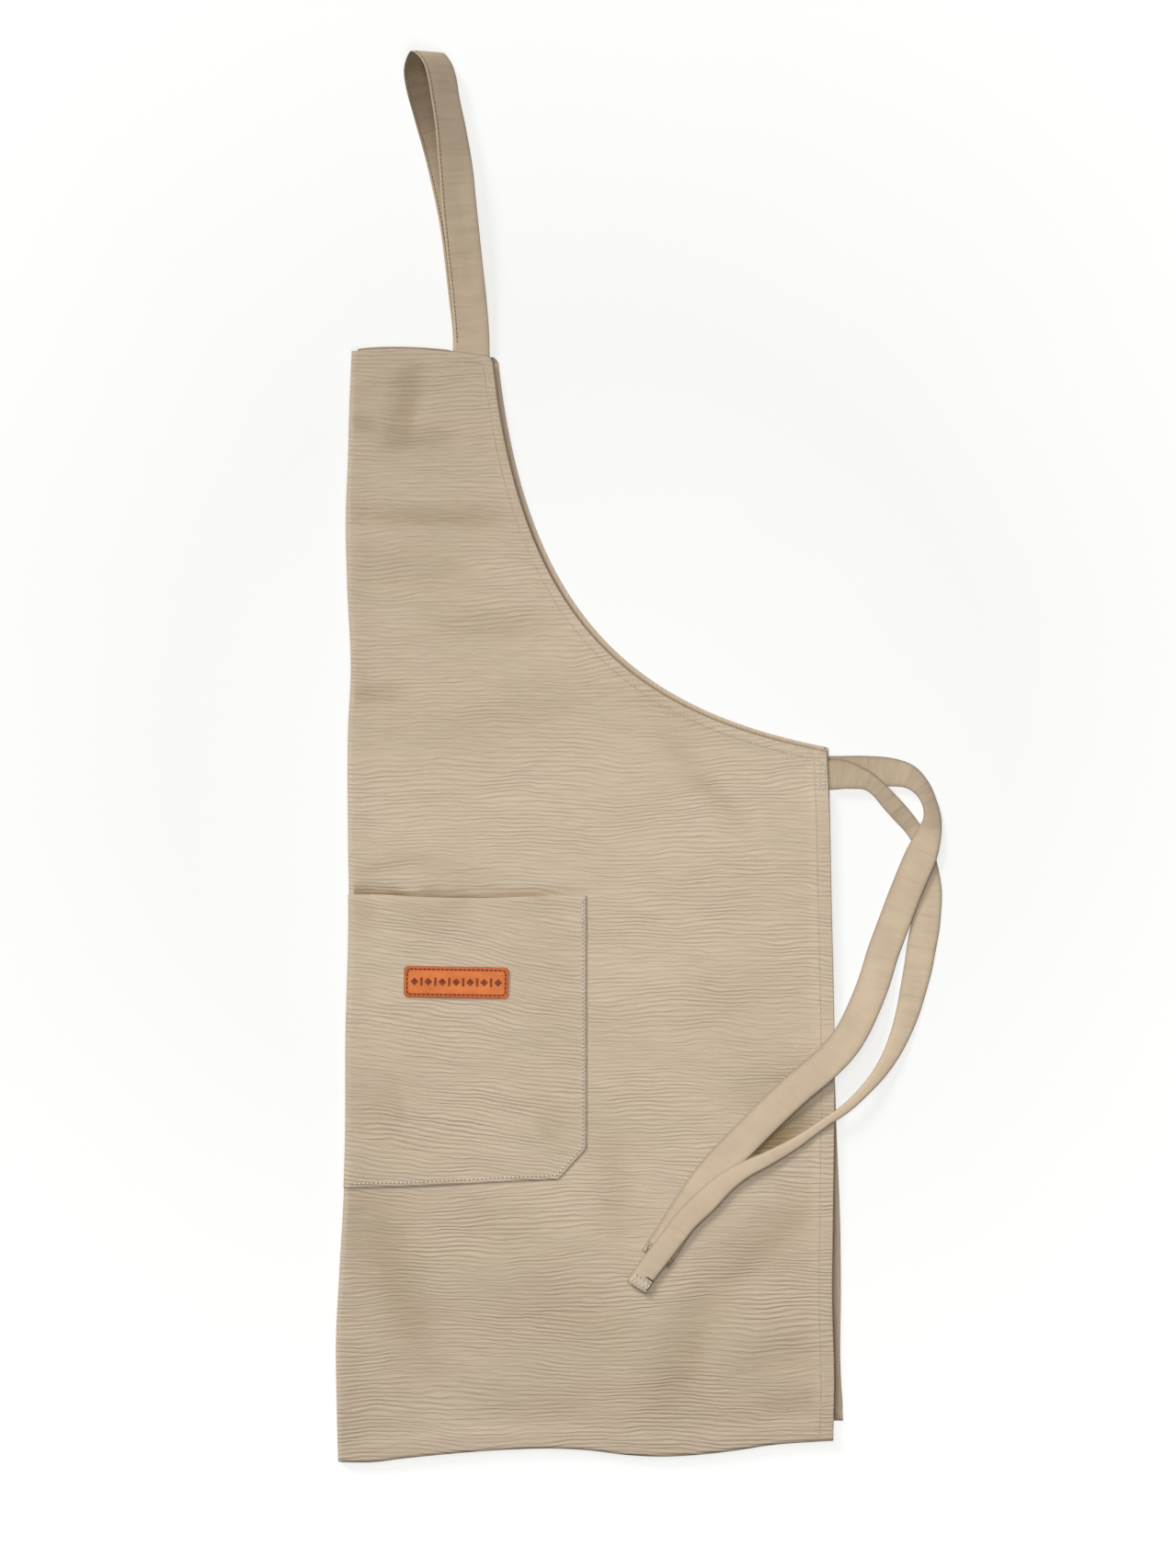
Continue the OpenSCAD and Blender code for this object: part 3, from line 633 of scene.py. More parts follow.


# Places with painted shade: both ends and half width
BETWEEN_TIES = (112, -287, 182, -243, 9)
POCKET_PAINTED_SHADE = [(-84, -100, -146, -134, 12), (-150, -112, -182, -114, 9), (-130, -250, -186, -262, 20),
                  (-40, -270, -8, -250, 12)]
DEEPEST = 1.8                        # a valley this deep gets painted shade of 1
SLIT_SHADE, SLIT_W = 3.0, 1.4        # painted shade of the gap above the pocket's mouth
TIES_SHADE = 3.4                     # painted shadow of the raised back tie on the cloth between the ties
POCKET_SHADE = 0.5
PEEK_SHADE, PEEK_W = 2.4, 1.7        # painted shade of the lower layer right beside the edge of the upper one


def hollow_at(x, y):
    """Painted shade: 0 on open cloth, about 1 in the bottom of a valley, and more in the gap above the
    pocket's mouth and in the shadow of the back tie between the ties.
    """
    mouth = POCKET_MOUTH + 0.8 + smooth_value(x, MOUTH_SAG)
    slit = np.exp(-((y - mouth) / SLIT_W)**2) * (1 - smoothstep(-70, -6, x))
    between = line_share(x, y, BETWEEN_TIES, 4)
    return np.clip(valleys(x, y) / DEEPEST, 0, 1) + SLIT_SHADE * slit + TIES_SHADE * between


def contact(x, y):
    """Painted shade of the back layer beside the edge of the front one."""
    near = np.minimum.reduce(hem_places(x, y)[:3])
    return PEEK_SHADE * np.exp(-(near / PEEK_W)**2)


def hem_places(x, y):
    """Distances to the four hemmed edges."""
    return (distance_to(BIB, x, y), distance_to(ARMHOLE[::4], x, y), distance_to(SIDE[::6], x, y),
            distance_to(BOTTOM[::2], x, y))


def front_mid(x, y):
    """Height of the middle of the front layer."""
    x, y = np.asarray(x, float), np.asarray(y, float)
    bib, armhole, side, bottom = hem_places(x, y)
    lift = np.zeros(x.shape)
    for near, depth in ((bib, BIB_HEM), (armhole, ARMHOLE_HEM), (side, SIDE_HEM), (bottom, BOTTOM_HEM)):
        lift = np.maximum(lift, 1 - smoothstep(depth - 2.5, depth + 2.5, near))
    fold = 1 - smoothstep(0, 16, x - fold_edge(y) - fold_z)
    rise = np.maximum(lift, fold)
    rim = np.minimum.reduce([bib, armhole, side, bottom])
    free = smoothstep(0, 26, rim) * smoothstep(-2, 10, x - fold_edge(y) - fold_z)
    slack = WAVE_HEIGHT * waves(x, y, WAVES) + RIPPLE_HEIGHT * waves(x, y, RIPPLES) - SLACK_DROP
    height = INSIDE_Z + (HEM_LIFT - INSIDE_Z) * rise + (slack - valleys(x, y)) * (0.15 + 0.85 * free)
    for near, row in ((armhole, ARMHOLE_ROW), (side, SIDE_ROW), (bottom, SIDE_ROW)):
        height = height - ROW_DIP * np.exp(-((near - row) / 1.1)**2)
    run = np.where(armhole < side, x * 0.8 - y, y)
    pucker = np.sin(run * 2 * math.pi / PUCKER_PITCH) * np.exp(-((armhole - 4) / 3)**2)
    height = height + 0.10 * pucker - FRONT_DROP
    return np.clip(height, LOWEST_Z, HEM_LIFT)


def pocket_edge(y):
    """x of the sewn side of the pocket, with its cut lower corner."""
    up = y - POCKET_BOTTOM - 2.2
    cut = np.clip(1 - up / POCKET_CUT[1], 0, 1)
    return POCKET_SIDE + 0.3 - POCKET_CUT[0] * cut


def in_pocket(x, y, soft=4.0):
    """1 under the pocket, 0 away from it, with soft borders."""
    inside = smoothstep(-soft, 0, pocket_edge(y) - x)
    return inside * smoothstep(-soft, 0, POCKET_MOUTH - y) * smoothstep(-soft, 0, y - POCKET_BOTTOM + 3)


def back_mid(x, y):
    """Height of the middle of the back layer."""
    x, y = np.asarray(x, float), np.asarray(y, float)
    soft = 0.25 + 0.25 * waves(x, y, WAVES[::2])
    rim = np.minimum(distance_to(BACK_ARMHOLE[::4], x, y), distance_to(BACK_SIDE[::6], x, y))
    return BACK_Z + 0.7 * in_pocket(x, y) + np.clip(soft, 0, 0.6) * smoothstep(0, 20, rim)


def pocket_mid(x, y):
    """Height of the middle of the front pocket."""
    x, y = np.asarray(x, float), np.asarray(y, float)
    up = np.clip((y - POCKET_BOTTOM) / (POCKET_MOUTH - POCKET_BOTTOM), 0, 1)
    across = smoothstep(0, 62, pocket_edge(y) - x) * smoothstep(-4, 46, x - fold_edge(y))
    border = np.exp(-(np.minimum(pocket_edge(y) - x, y - POCKET_BOTTOM) / 8)**2)
    under = np.maximum(front_mid(x, y), INSIDE_Z - 1.3)
    level = under * (1 - 0.6 * across) + (INSIDE_Z - 0.2) * 0.6 * across
    gap = POCKET_GAP * up**1.15 * across
    return level + POCKET_ON + 0.12 * border + gap + 0.25 * waves(x, y, RIPPLES) * across


# ---------------------------------------------------------------- the one cloth that both halves are cut in

TURN_STEPS = 12
EDGE_STEPS = np.array([0, 0.6, 1.4, 2.6, 4.0, 5.4, 6.5, 7.6, 9.0, 10.6, 12.4, 14.6, 17.5])
MID_STEPS = 92


def row_heights():
    """Heights of the rows of the cloth, close together where the armhole runs nearly level."""
    armhole = resample(ARMHOLE, 2.6)[:, 1]
    side = resample(SIDE, 2.6)[1:, 1]
    return np.concatenate([armhole, side])


def half_places(y, armhole, side):
    """x places of one row, from the fold to the side edge."""
    line = np.vstack([armhole, side])
    order = np.argsort(line[:, 1])
    edge = np.interp(y, line[order, 1], line[order, 0])
    start = fold_edge(y) + fold_z
    near = edge - EDGE_STEPS[::-1]
    middle = start + (near[0] - start) * np.linspace(0, 1, MID_STEPS)[:-1]
    return np.concatenate([middle, near])


def settle(x, y, back):
    """y places of a row, moved onto the curved edges near the top and the bottom."""
    top = smoothstep(bib_top - 45, bib_top - 3, y)
    bottom = 1 - smoothstep(LOWEST_ROW, -430, y)
    return y + top * (bib_edge(x, back) - bib_top + 3) + bottom * (bottom_edge(x, back) - LOWEST_ROW)


def fold_turn(y, inset, grow=0.0):
    """Points round the fold from the back layer to the front one, inset towards the wrong side."""
    low, high = BACK_Z + inset - grow, HEM_LIFT - FRONT_DROP - inset + grow
    out = []
    for angle in np.linspace(-math.pi / 2, math.pi / 2, TURN_STEPS + 2)[1:-1]:
        x = fold_edge(y) + fold_z - (fold_z - inset + grow) * math.cos(angle)
        z = (low + high) / 2 + (high - low) / 2 * math.sin(angle)
        out.append((x, y, z))
    return np.array(out)


def panel_piece():
    """The whole cloth: the back half from its side edge to the fold, the turn and the front half."""
    all_x, all_y, turn_z = [], [], []
    for y in row_heights():
        back_x, front_x = half_places(y, BACK_ARMHOLE, BACK_SIDE), half_places(y, ARMHOLE, SIDE)
        back_y, front_y = settle(back_x, y, True), settle(front_x, y, False)
        turn = fold_turn(y, 0.0)
        all_x.append(np.concatenate([back_x[::-1], turn[:, 0], front_x]))
        all_y.append(np.concatenate([back_y[::-1], np.full(TURN_STEPS, front_y[0]), front_y]))
        turn_z.append(turn[:, 2])
    all_x, all_y, half = np.array(all_x), np.array(all_y), len(front_x)
    all_z = np.zeros(all_x.shape)
    all_z[:, :half] = back_mid(all_x[:, :half], all_y[:, :half])
    all_z[:, half:-half] = turn_z
    all_z[:, -half:] = front_mid(all_x[:, -half:], all_y[:, -half:])
    centre = half + TURN_STEPS // 2
    across = np.zeros(all_x.shape)
    step = np.hypot(np.diff(all_x, axis=1), np.diff(all_z, axis=1))
    across[:, 1:] = np.cumsum(step, axis=1)
    across -= across[:, centre:centre + 1]
    # painted shade on the front half, and on the back half beside the front layer's edge
    hollow, inside = np.zeros(all_x.shape), np.zeros(all_x.shape)
    hollow[:, -half:] = hollow_at(all_x[:, -half:], all_y[:, -half:])
    inside[:, :half] = contact(all_x[:, :half], all_y[:, :half])
    piece = grid_piece("apron_cloth", np.stack([all_x, all_y, all_z], -1), "canvas",
                       np.stack([across, all_y], -1), hollow=hollow, hollow_inside=inside)
    return thicken(piece, CLOTH, "canvas_inside")


def over_fold(piece):
    """Bakes a piece's place into its mesh."""
    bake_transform(piece)


apron_cloth = panel_piece()
over_fold(apron_cloth)
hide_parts("back_panel", "front_panel", "centre_fold_cloth")


# ---------------------------------------------------------------- turned hems

HEM_CLOTH = CLOTH * 0.92              # a pressed layer is a little thinner
MITRE = 1.4                          # width of a hem at its very corner


def turned_profile(depth):
    """How far in from the edge, and how far to the wrong side, a turned edge runs."""
    bend = [(TURN_R * (1 - math.sin(a)), TURN_R * (1 - math.cos(a)))
            for a in np.linspace(0, math.pi, 7)]
    inner = [(d, 2 * TURN_R) for d in np.linspace(TURN_R + 1, depth - 1, max(3, int(depth / 3)))]
    return bend + inner + [(depth - 0.3, 2 * TURN_R - 0.12), (depth, 2 * TURN_R - 0.45)]


def turned_edge(name, run, surface, depth, side, material="hem", mitre=True):
    """Cloth turned to the wrong side along an edge; side is -1 where the wrong side faces down."""
    run = resample(run, 2.6)
    inward = plan_normals(run)
    profile = np.array(turned_profile(depth))
    gone = np.linspace(0, 1, len(run)) * np.linalg.norm(np.diff(run, axis=0), axis=1).sum()
    limit = np.full(len(run), float(depth))
    if mitre:
        limit = np.minimum.reduce([limit, MITRE + gone, MITRE + gone[-1] - gone])
    far = np.where(profile[:, 0] <= 2 * TURN_R, profile[:, 0],
                   profile[:, 0] * np.minimum(1, limit / depth)[:, None])
    x = run[:, :1] + inward[:, :1] * far
    y = run[:, 1:2] + inward[:, 1:2] * far
    z = surface(x, y) + side * profile[:, 1]
    # painted shade on the back hems beside the front layer's edge
    hollow = contact(x, y) if side > 0 else np.zeros(x.shape)
    piece = grid_piece(name, np.stack([x, y, z], -1), material, np.stack([y, x], -1), hollow=hollow)
    return thicken(piece, HEM_CLOTH)


def level_hem(name, edge, depth, side_x, way):
    """A top or bottom hem that runs on round the fold; way is -1 where the hem lies below its edge."""
    y_fold = edge(-172, False)
    start = fold_edge(y_fold) + fold_z
    back_x = np.linspace(side_x[0], start, 60)
    front_x = np.linspace(start, side_x[1], 60)

    def mitred(x, outer_x, back):
        """y places at a distance far from the edge, less near the outer corner."""
        return edge(x, back) + way * np.minimum(far, np.maximum(1.2, outer_x - x + MITRE))

    rows = []
    for far, drop in turned_profile(depth):
        y = mitred(back_x, side_x[0], True)
        back = np.stack([back_x, y, back_mid(back_x, y) + drop], 1)
        turn = fold_turn(y_fold + way * far, drop)
        y = mitred(front_x, side_x[1], False)
        z = np.maximum(front_mid(front_x, y) - drop, BEND_END + 0.05)
        rows.append(np.vstack([back, turn, np.stack([front_x, y, z], 1)]))
    rows = np.array(rows)
    # painted shade on the back part of the hem beside the front layer's edge
    hollow = contact(rows[:, :, 0], rows[:, :, 1])
    hollow[:, len(back_x):] = 0
    piece = grid_piece(name, rows, "hem", rows[:, :, :2], way < 0, hollow=hollow)
    return thicken(piece, HEM_CLOTH)


def side_hems(body, surface, side, *hems):
    """The armhole and side hems of one half."""
    out = []
    for name, node, line, depth in hems:
        out.append(turned_edge(name, line, surface, depth, side))
        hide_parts(node)
        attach(out[-1], body)
    return out


def level_hems():
    """The bib hem and the bottom hem, which run on round the fold."""
    bib = level_hem("bib_turned_hem", bib_edge, BIB_HEM, (corner[0] + PEEK - 2.5, corner[0] - 2.5), -1)
    bottom = level_hem("bottom_turned_hem", bottom_edge, BOTTOM_HEM, (181.5, 174.4), 1)
    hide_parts("back_bib_hem", "front_bib_hem")
    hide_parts("back_bottom_hem", "front_bottom_hem")
    over_fold(bib)
    over_fold(bottom)
    return [bib, bottom]


hems = [
    *side_hems("front_half", front_mid, -1,
               ("front_armhole_turned_hem", "front_armhole_hem", ARMHOLE[2:], ARMHOLE_HEM),
               ("front_side_turned_hem", "front_side_hem", SIDE, SIDE_HEM)),
    *side_hems("back_half", back_mid, 1,
               ("back_armhole_turned_hem", "back_armhole_hem", BACK_ARMHOLE[2:], ARMHOLE_HEM),
               ("back_side_turned_hem", "back_side_hem", BACK_SIDE, SIDE_HEM)),
    *level_hems()]


# ---------------------------------------------------------------- pocket

POCKET_COLUMNS = 74
POCKET_ROWS = np.concatenate([np.linspace(POCKET_MOUTH - 0.6, POCKET_BOTTOM + 26, 78),
                              np.linspace(POCKET_BOTTOM + 24, POCKET_BOTTOM + 2.2, 14)])


def pocket_settle(x, y):
    """y places of a row, moved onto the pocket's curved mouth and slanting bottom."""
    mouth = smoothstep(POCKET_MOUTH - 60, POCKET_MOUTH, y)
    bottom = 1 - smoothstep(POCKET_BOTTOM + 2, POCKET_BOTTOM + 50, y)
    return y + mouth * smooth_value(x, MOUTH_SAG) + bottom * (smooth_value(x, BOTTOM_SLANT) - 2.2)


def pocket_piece():
    """One pocket cloth over both halves: its back half, the turn and its front half."""
    grow = CLOTH + 0.1
    rows = []
    for y in POCKET_ROWS:
        start = fold_edge(y) + fold_z
        x = np.linspace(start, pocket_edge(y), POCKET_COLUMNS)
        settled = pocket_settle(x, y)
        back = np.stack([x[::-1], settled[::-1], np.full(x.shape, BACK_Z)], 1)
        turn = fold_turn(y, 0.0, grow)
        turn[:, 1] = settled[0]
        turn[:, 2] = np.maximum(turn[:, 2], BACK_Z)
        front = np.stack([x, settled, pocket_mid(x, settled)], 1)
        rows.append(np.vstack([back, turn, front]))
    rows = np.array(rows)
    step = np.linalg.norm(np.diff(rows, axis=1)[:, :, [0, 2]], axis=2)
    across = np.concatenate([np.zeros((len(rows), 1)), np.cumsum(step, axis=1)], 1)
    across -= across[:, rows.shape[1] // 2, None]
    flat = np.stack([across, rows[:, :, 1] + 613], -1)
    # painted shade on the pocket, with no dip in its cloth under it
    hollow = sum(line_share(rows[:, :, 0], rows[:, :, 1], line) for line in POCKET_PAINTED_SHADE)
    piece = grid_piece("pocket_cloth", rows, "pocket", flat, hollow=POCKET_SHADE * hollow)
    return thicken(piece, HEM_CLOTH, "pocket_inside")


pocket_cloth = pocket_piece()
over_fold(pocket_cloth)
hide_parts("back_pocket", "front_pocket", "pocket_fold_cloth")


def pocket_outline(inset):
    """Sewn edge of the pocket from its mouth corner to the fold, moved in by inset."""
    side = POCKET_SIDE + 0.3
    low = POCKET_BOTTOM
    cut_x, cut_y = POCKET_CUT
    line = [(side, POCKET_MOUTH + 0.2), (side, low + cut_y + 2.2), (side - cut_x, low + 2.4)]
    line += [(x, low + smooth_value(x, BOTTOM_SLANT)) for x in np.linspace(side - cut_x - 8, -170, 16)]
    line = resample(np.array(line, float), 2.0)
    return line + plan_normals(line) * inset


pocket_turned_edge = turned_edge("pocket_turned_edge", pocket_outline(0.0), pocket_mid, 8, -1, "pocket",
                                 mitre=False)
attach(pocket_turned_edge, "front_half")


def mouth_hem(name, node, body, height, turned):
    """The turned hem inside the pocket's mouth, on one half; turned is the share of its thickness shown."""
    x = np.linspace(-158, POCKET_SIDE - 2, 50)
    rows = []
    for far, drop in turned_profile(14):
        y = POCKET_MOUTH - 0.4 + smooth_value(x, MOUTH_SAG) - far
        rows.append(np.stack([x, y, height(x, y) + drop * turned], 1))
    rows = np.array(rows)
    piece = grid_piece(name, rows, "pocket", rows[:, :, :2])
    thicken(piece, 0.3)
    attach(piece, body)
    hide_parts(node)
    return piece


mouth_turns = [
    mouth_hem("front_pocket_mouth_turn", "front_pocket_mouth_hem", "front_half", pocket_mid, -0.8),
    mouth_hem("back_pocket_mouth_turn", "back_pocket_mouth_hem", "back_half",
              lambda x, y: np.full(x.shape, BACK_Z), 0.45)]


# ---------------------------------------------------------------- stitches

STITCH_SIDES = 6
# Rings of a stitch: place along it, size, and how much painted shade it gets where it dives into its needle
# hole
STITCH_RINGS = [(-1.0, 0.6, 1.0), (-0.62, 0.85, 0.9), (-0.42, 1.0, 0.0), (0.42, 1.0, 0.0), (0.62, 0.85, 0.9),
                (1.0, 0.6, 1.0)]


def stitches(name, places, body, width=0.75, height=0.42, material="thread", hole_shade_share=0.5):
    """Separate stitches, each given by its two ends and the way it faces."""
    points, faces, flat, sunk = [], [], [], []
    for start, end, up in places:
        start, end, up = (np.asarray(v, float) for v in (start, end, up))
        middle, ahead = (start + end) / 2, (end - start) / 2
        side = np.cross(up, ahead)
        side /= np.linalg.norm(side)
        first = len(points)
        for along, size, depth in STITCH_RINGS:
            # painted shade where the stitch dives into the cloth
            sunk += [depth * hole_shade_share] * STITCH_SIDES
            for k in range(STITCH_SIDES):
                angle = 2 * math.pi * k / STITCH_SIDES
                points.append(middle + ahead * along + side * math.cos(angle) * width / 2 * size
                              + up * math.sin(angle) * height / 2 * size)
                flat.append((along * 1.2 + middle[0], k * 0.3 + middle[1]))
        rings = len(STITCH_RINGS)
        faces += (grid_faces(rings, STITCH_SIDES, True)[:, ::-1] + first).tolist()
        faces.append([first + k for k in range(STITCH_SIDES)])
        faces.append([first + (rings - 1) * STITCH_SIDES + k for k in range(STITCH_SIDES)][::-1])
    piece = make_piece(name, points, faces, material, flat, sunk=sunk)
    if body is not None:
        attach(piece, body)
    return piece


def row_places(line, surface, side, pitch=3.0, share=0.92, proud=0.06):
    """Stitches along a line on a surface; side is 1 on its upper face and -1 on its lower face."""
    line = resample(line, pitch)
    z = surface(line[:, 0], line[:, 1]) + side * (CLOTH / 2 + proud)
    spots, gap = np.column_stack([line, z]), (1 - share) / 2
    return [(a + (b - a) * gap, b - (b - a) * gap, (0, 0, side)) for a, b in zip(spots[:-1], spots[1:])]


def inset_line(line, inset):
    """The same line, moved in from the edge that it follows."""
    line = resample(line, 4.0)
    return line + plan_normals(line) * inset


def hem_rows(armhole, side, bottom, surface, face, extra=0.0):
    """The three rows of a half, on one face of its cloth."""
    def height(x, y):
        return surface(x, y) + face * extra

    places = []
    for line, row in ((armhole[2:], ARMHOLE_ROW), (side, SIDE_ROW)):
        places += row_places(inset_line(line, row)[1:-1], height, face)
    low = inset_line(bottom[::-1], SIDE_ROW)[3:-2]
    return places + row_places(low, height, face)


HEM_UNDER = 2 * TURN_R + 0.05         # from the middle of the cloth to the far side of its hem
front_threads = stitches("front_hem_stitches", hem_rows(ARMHOLE, SIDE, BOTTOM, front_mid, 1), "front_half")
stitches("front_hem_bobbin_stitches", hem_rows(ARMHOLE, SIDE, BOTTOM, front_mid, -1, HEM_UNDER), "front_half")
back_threads = stitches(
    "back_hem_stitches", hem_rows(BACK_ARMHOLE, BACK_SIDE, BACK_BOTTOM, back_mid, 1, HEM_UNDER), "back_half")
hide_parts("front_hem_thread")
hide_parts("back_hem_thread")


def pocket_stitches():
    """The row round the pocket, on both sides of the front half, and the tack at its mouth corner."""
    line = pocket_outline(3.0)[1:]
    piece = stitches("pocket_edge_stitches", row_places(line, pocket_mid, 1), "front_half", 1.0, 0.5,
                     "pale_thread", 0.95)
    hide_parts("front_pocket_thread")
    stitches("pocket_bobbin_stitches", row_places(line, front_mid, -1), "front_half")
    tack = []
    for k in range(16):
        y = POCKET_MOUTH - 2.2 - k * 1.25
        x = POCKET_SIDE - 1.6 - 1.2 * (k % 2)
        z = float(pocket_mid(x, y)) + CLOTH / 2 + 0.1
        tack.append(((x - 0.9, y - 0.3, z), (x + 0.9, y + 0.3, z), (0, 0, 1)))
    piece = stitches("pocket_corner_back_tack", tack, "front_half", 0.8, 0.5, "pale_thread", 0.9)
    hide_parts("pocket_corner_tack")


pocket_stitches()


def bib_stitches():
    """The row across the strap, the tack at the bib corner and the box at the waist corner."""
    line = np.array([[-97, bib_top - 6.4], [-84, bib_top - 7], [-74.5, bib_top - 8.4]], float)
    strap = stitches("bib_strap_stitches", row_places(line, front_mid, 1, 2.6), "front_half")
    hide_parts("front_strap_thread")
    tack = [((x, y, z), (x + 0.5, y - 2.0, z), (0, 0, 1))
            for k in range(5)
            for x, y in [(-74.2 + 0.35 * k, bib_top - 9 - 2.6 * k)]
            for z in [float(front_mid(x, y)) + CLOTH / 2 + 0.05]]
    corner_tack = stitches("bib_corner_back_tack", tack, "front_half", 0.8, 0.5, "pale_thread")
    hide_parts("bib_corner_tack")
    left, right, low, high = 165.0, 168.6, -24.0, -4.5
    box = np.array([[left, high], [left, low], [right, low], [right, high], [left, high]])
    places = row_places(box, front_mid, 1, 2.4)
    waist = stitches("waist_box_stitches", places, "front_half", 0.9, 0.45, "pale_thread", 0.7)
    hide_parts("front_tie_box_thread")


bib_stitches()


# ---------------------------------------------------------------- strips: the neck strap and the ties

TIE_W, STRIP_T = 23.5, 1.15
ACROSS = 20
CREST = 0.14                         # how much thicker a strip is in its middle
EVEN = np.linspace(-1, 1, ACROSS)
SHARES = (EVEN + np.sin(EVEN * math.pi / 2)) / 2        # places across a strip, closer near its edges
STRAP_ROW = 1.8                      # row of stitches, in from the strap's left edge
LOOP_SHADE = 0.80                    # shade on the strap's lower strand near the top of the loop
TIE_SHADE = 0.26                     # shade on a tie near its sewn end


class Strip:
    """Doubled cloth between the lines of its left and right edges, thicker where it is curled up."""

    def __init__(self, left, right, height=STRIP_T, row=None):
        self.middle = (left + right) / 2
        self.ahead = unit_rows(np.gradient(self.middle, axis=0))
        self.width = np.linalg.norm(right - left, axis=1)
        self.side = (right - left) / self.width[:, None]
        self.up = unit_rows(np.cross(self.side, self.ahead))
        self.gone = polyline_lengths(self.middle)
        self.height = np.broadcast_to(height, self.width.shape)
        self.row = row

    def half(self, share, width):
        """Half the thickness at a share of the half width."""
        flat = STRIP_T / 2 * (1 - 0.7 * np.abs(share)**9) + CREST / 2 * (1 - share**2)
        curled = np.maximum(self.height - STRIP_T, 0)[:, None] / 2 * (1 - np.abs(share)**3)
        if self.row is None:
            return flat + curled
        return flat + curled - 0.2 * np.exp(-(((share + 1) * width / 2 - self.row) / 0.8)**2)

    def mesh(self, name, material, first=0, last=None, open_ends=(), shade=None):
        """The strip, or its rows from first to last, as a closed tube."""
        rows = slice(first, last)
        width, share = self.width[:, None], SHARES[None, :]
        half = self.half(share, width)[rows, :, None]
        across = self.middle[rows, None] + self.side[rows, None] * (share * width / 2)[rows, :, None]
        upper, lower = across + self.up[rows, None] * half, across - self.up[rows, None] * half
        rings = np.concatenate([upper, lower[:, ::-1]], 1)
        from_left = ((share + 1) * width / 2)[rows]
        gone = np.broadcast_to(self.gone[rows, None], from_left.shape)
        flat = np.concatenate([np.stack([gone, from_left], -1),
                               np.stack([gone, from_left + 40], -1)[:, ::-1]], 1)
        count, ring = rings.shape[:2]
        faces = grid_faces(count, ring, True).tolist()
        if "first" not in open_ends:
            faces.append(list(range(ring)))
        if "last" not in open_ends:
            faces.append([(count - 1) * ring + k for k in range(ring)][::-1])
        # dark at both edges: partly seam, partly painted shade
        band, seam = np.exp(-from_left**4), np.abs(share + 0 * from_left)**9
        edge, seam = (np.concatenate([v, v[:, ::-1]], 1).ravel() for v in (band, seam))
        shade = np.zeros(count) if shade is None else shade[rows]
        return make_piece(name, rings.reshape(-1, 3), faces, material, flat.reshape(-1, 2),
                          edge=edge, seam=seam, shade=np.repeat(shade, ring))

    def stitch_places(self, first, last, inset, pitch=3.1, share=0.66):
        """A row of stitches along both faces of the strip, inset from its left edge."""
        at = np.arange(self.gone[first] + 1, self.gone[last] - pitch, pitch)
        out = []
        for begin in at:
            ends = []
            for where in (begin + pitch * (1 - share) / 2, begin + pitch * (1 + share) / 2):
                middle, side, up = (np.array([np.interp(where, self.gone, line[:, k]) for k in range(3)])
                                    for line in (self.middle, self.side, self.up))
                width = np.interp(where, self.gone, self.width)
                ends.append(middle + side * (inset - width / 2))
            for face in (up, -up):
                out.append((*(end + face * (STRIP_T / 2 + 0.02) for end in ends), face))
        return out


# The places of the neck strap's edges, as in the frame: up the strand that lies under, round the
# loop at the top, and down the strand that lies over it. Its two ends are sewn inside the bib hem.
LOOP_TOP = cad_high[1] / MM
STRAP_LOW = 1.0
STRAP_LEFT = [
    (-98.5, 270, 2.9), (-98.5, 280, 2.9), (-98.5, 290, 2.8), (-98.8, 306, 1.8), (-101, 325, STRAP_LOW),
    (-104, 352, STRAP_LOW), (-107.3, 378, STRAP_LOW), (-112.3, 404, STRAP_LOW), (-118.5, 431, STRAP_LOW),
    (-125.7, 457, 1.4), (-131.5, 478, 2.4), (-133.6, 491, 5), (-132.2, 499.4, 9),
    (-128.2, LOOP_TOP - 0.7, 14), (-123, 501.6, 19), (-118.5, 494.6, 21.6), (-115.5, 484, 22.4),
    (-113.2, 470, 22.2), (-110.5, 452, 21.4), (-108.8, 432, 20.2), (-107.4, 415, 18.6),
    (-106.2, 397, 16.8), (-104.2, 376, 14.6), (-102, 354, 12.2), (-99.8, 334, 9.9), (-98, 314, 7.5),
    (-97.2, 301, 5.9), (-97, 290, 5.2), (-97, 280, 5.1), (-97, 270, 5.1)]
STRAP_RIGHT = [
    (-73.5, 270, 2.9), (-73.5, 280, 2.9), (-73.5, 290, 2.8), (-73.8, 306, 1.8), (-76, 325, STRAP_LOW),
    (-79, 352, STRAP_LOW), (-82.4, 379, STRAP_LOW), (-87.6, 408, STRAP_LOW), (-94.3, 437, STRAP_LOW),
    (-101.6, 463.5, STRAP_LOW), (-107.4, 484, 1.2), (-109.4, 497, 2.2), (-108.2, 502.4, 3.6),
    (-105.3, LOOP_TOP - 0.6, 5.8), (-102, 502, 7.6), (-98.5, 496, 8.8), (-95.6, 486, 9.4),
    (-93.4, 472, 9.8), (-89.5, 454, 10.6), (-85.8, 434, 11.6), (-83.3, 417, 12.8),
    (-81.5, 398.5, 13.3), (-79.3, 377.5, 13), (-77, 355, 11.4), (-74.8, 335, 9.6), (-73, 315, 7.4),
    (-72.2, 302, 5.9), (-72, 290, 5.2), (-72, 280, 5.1), (-72, 270, 5.1)]


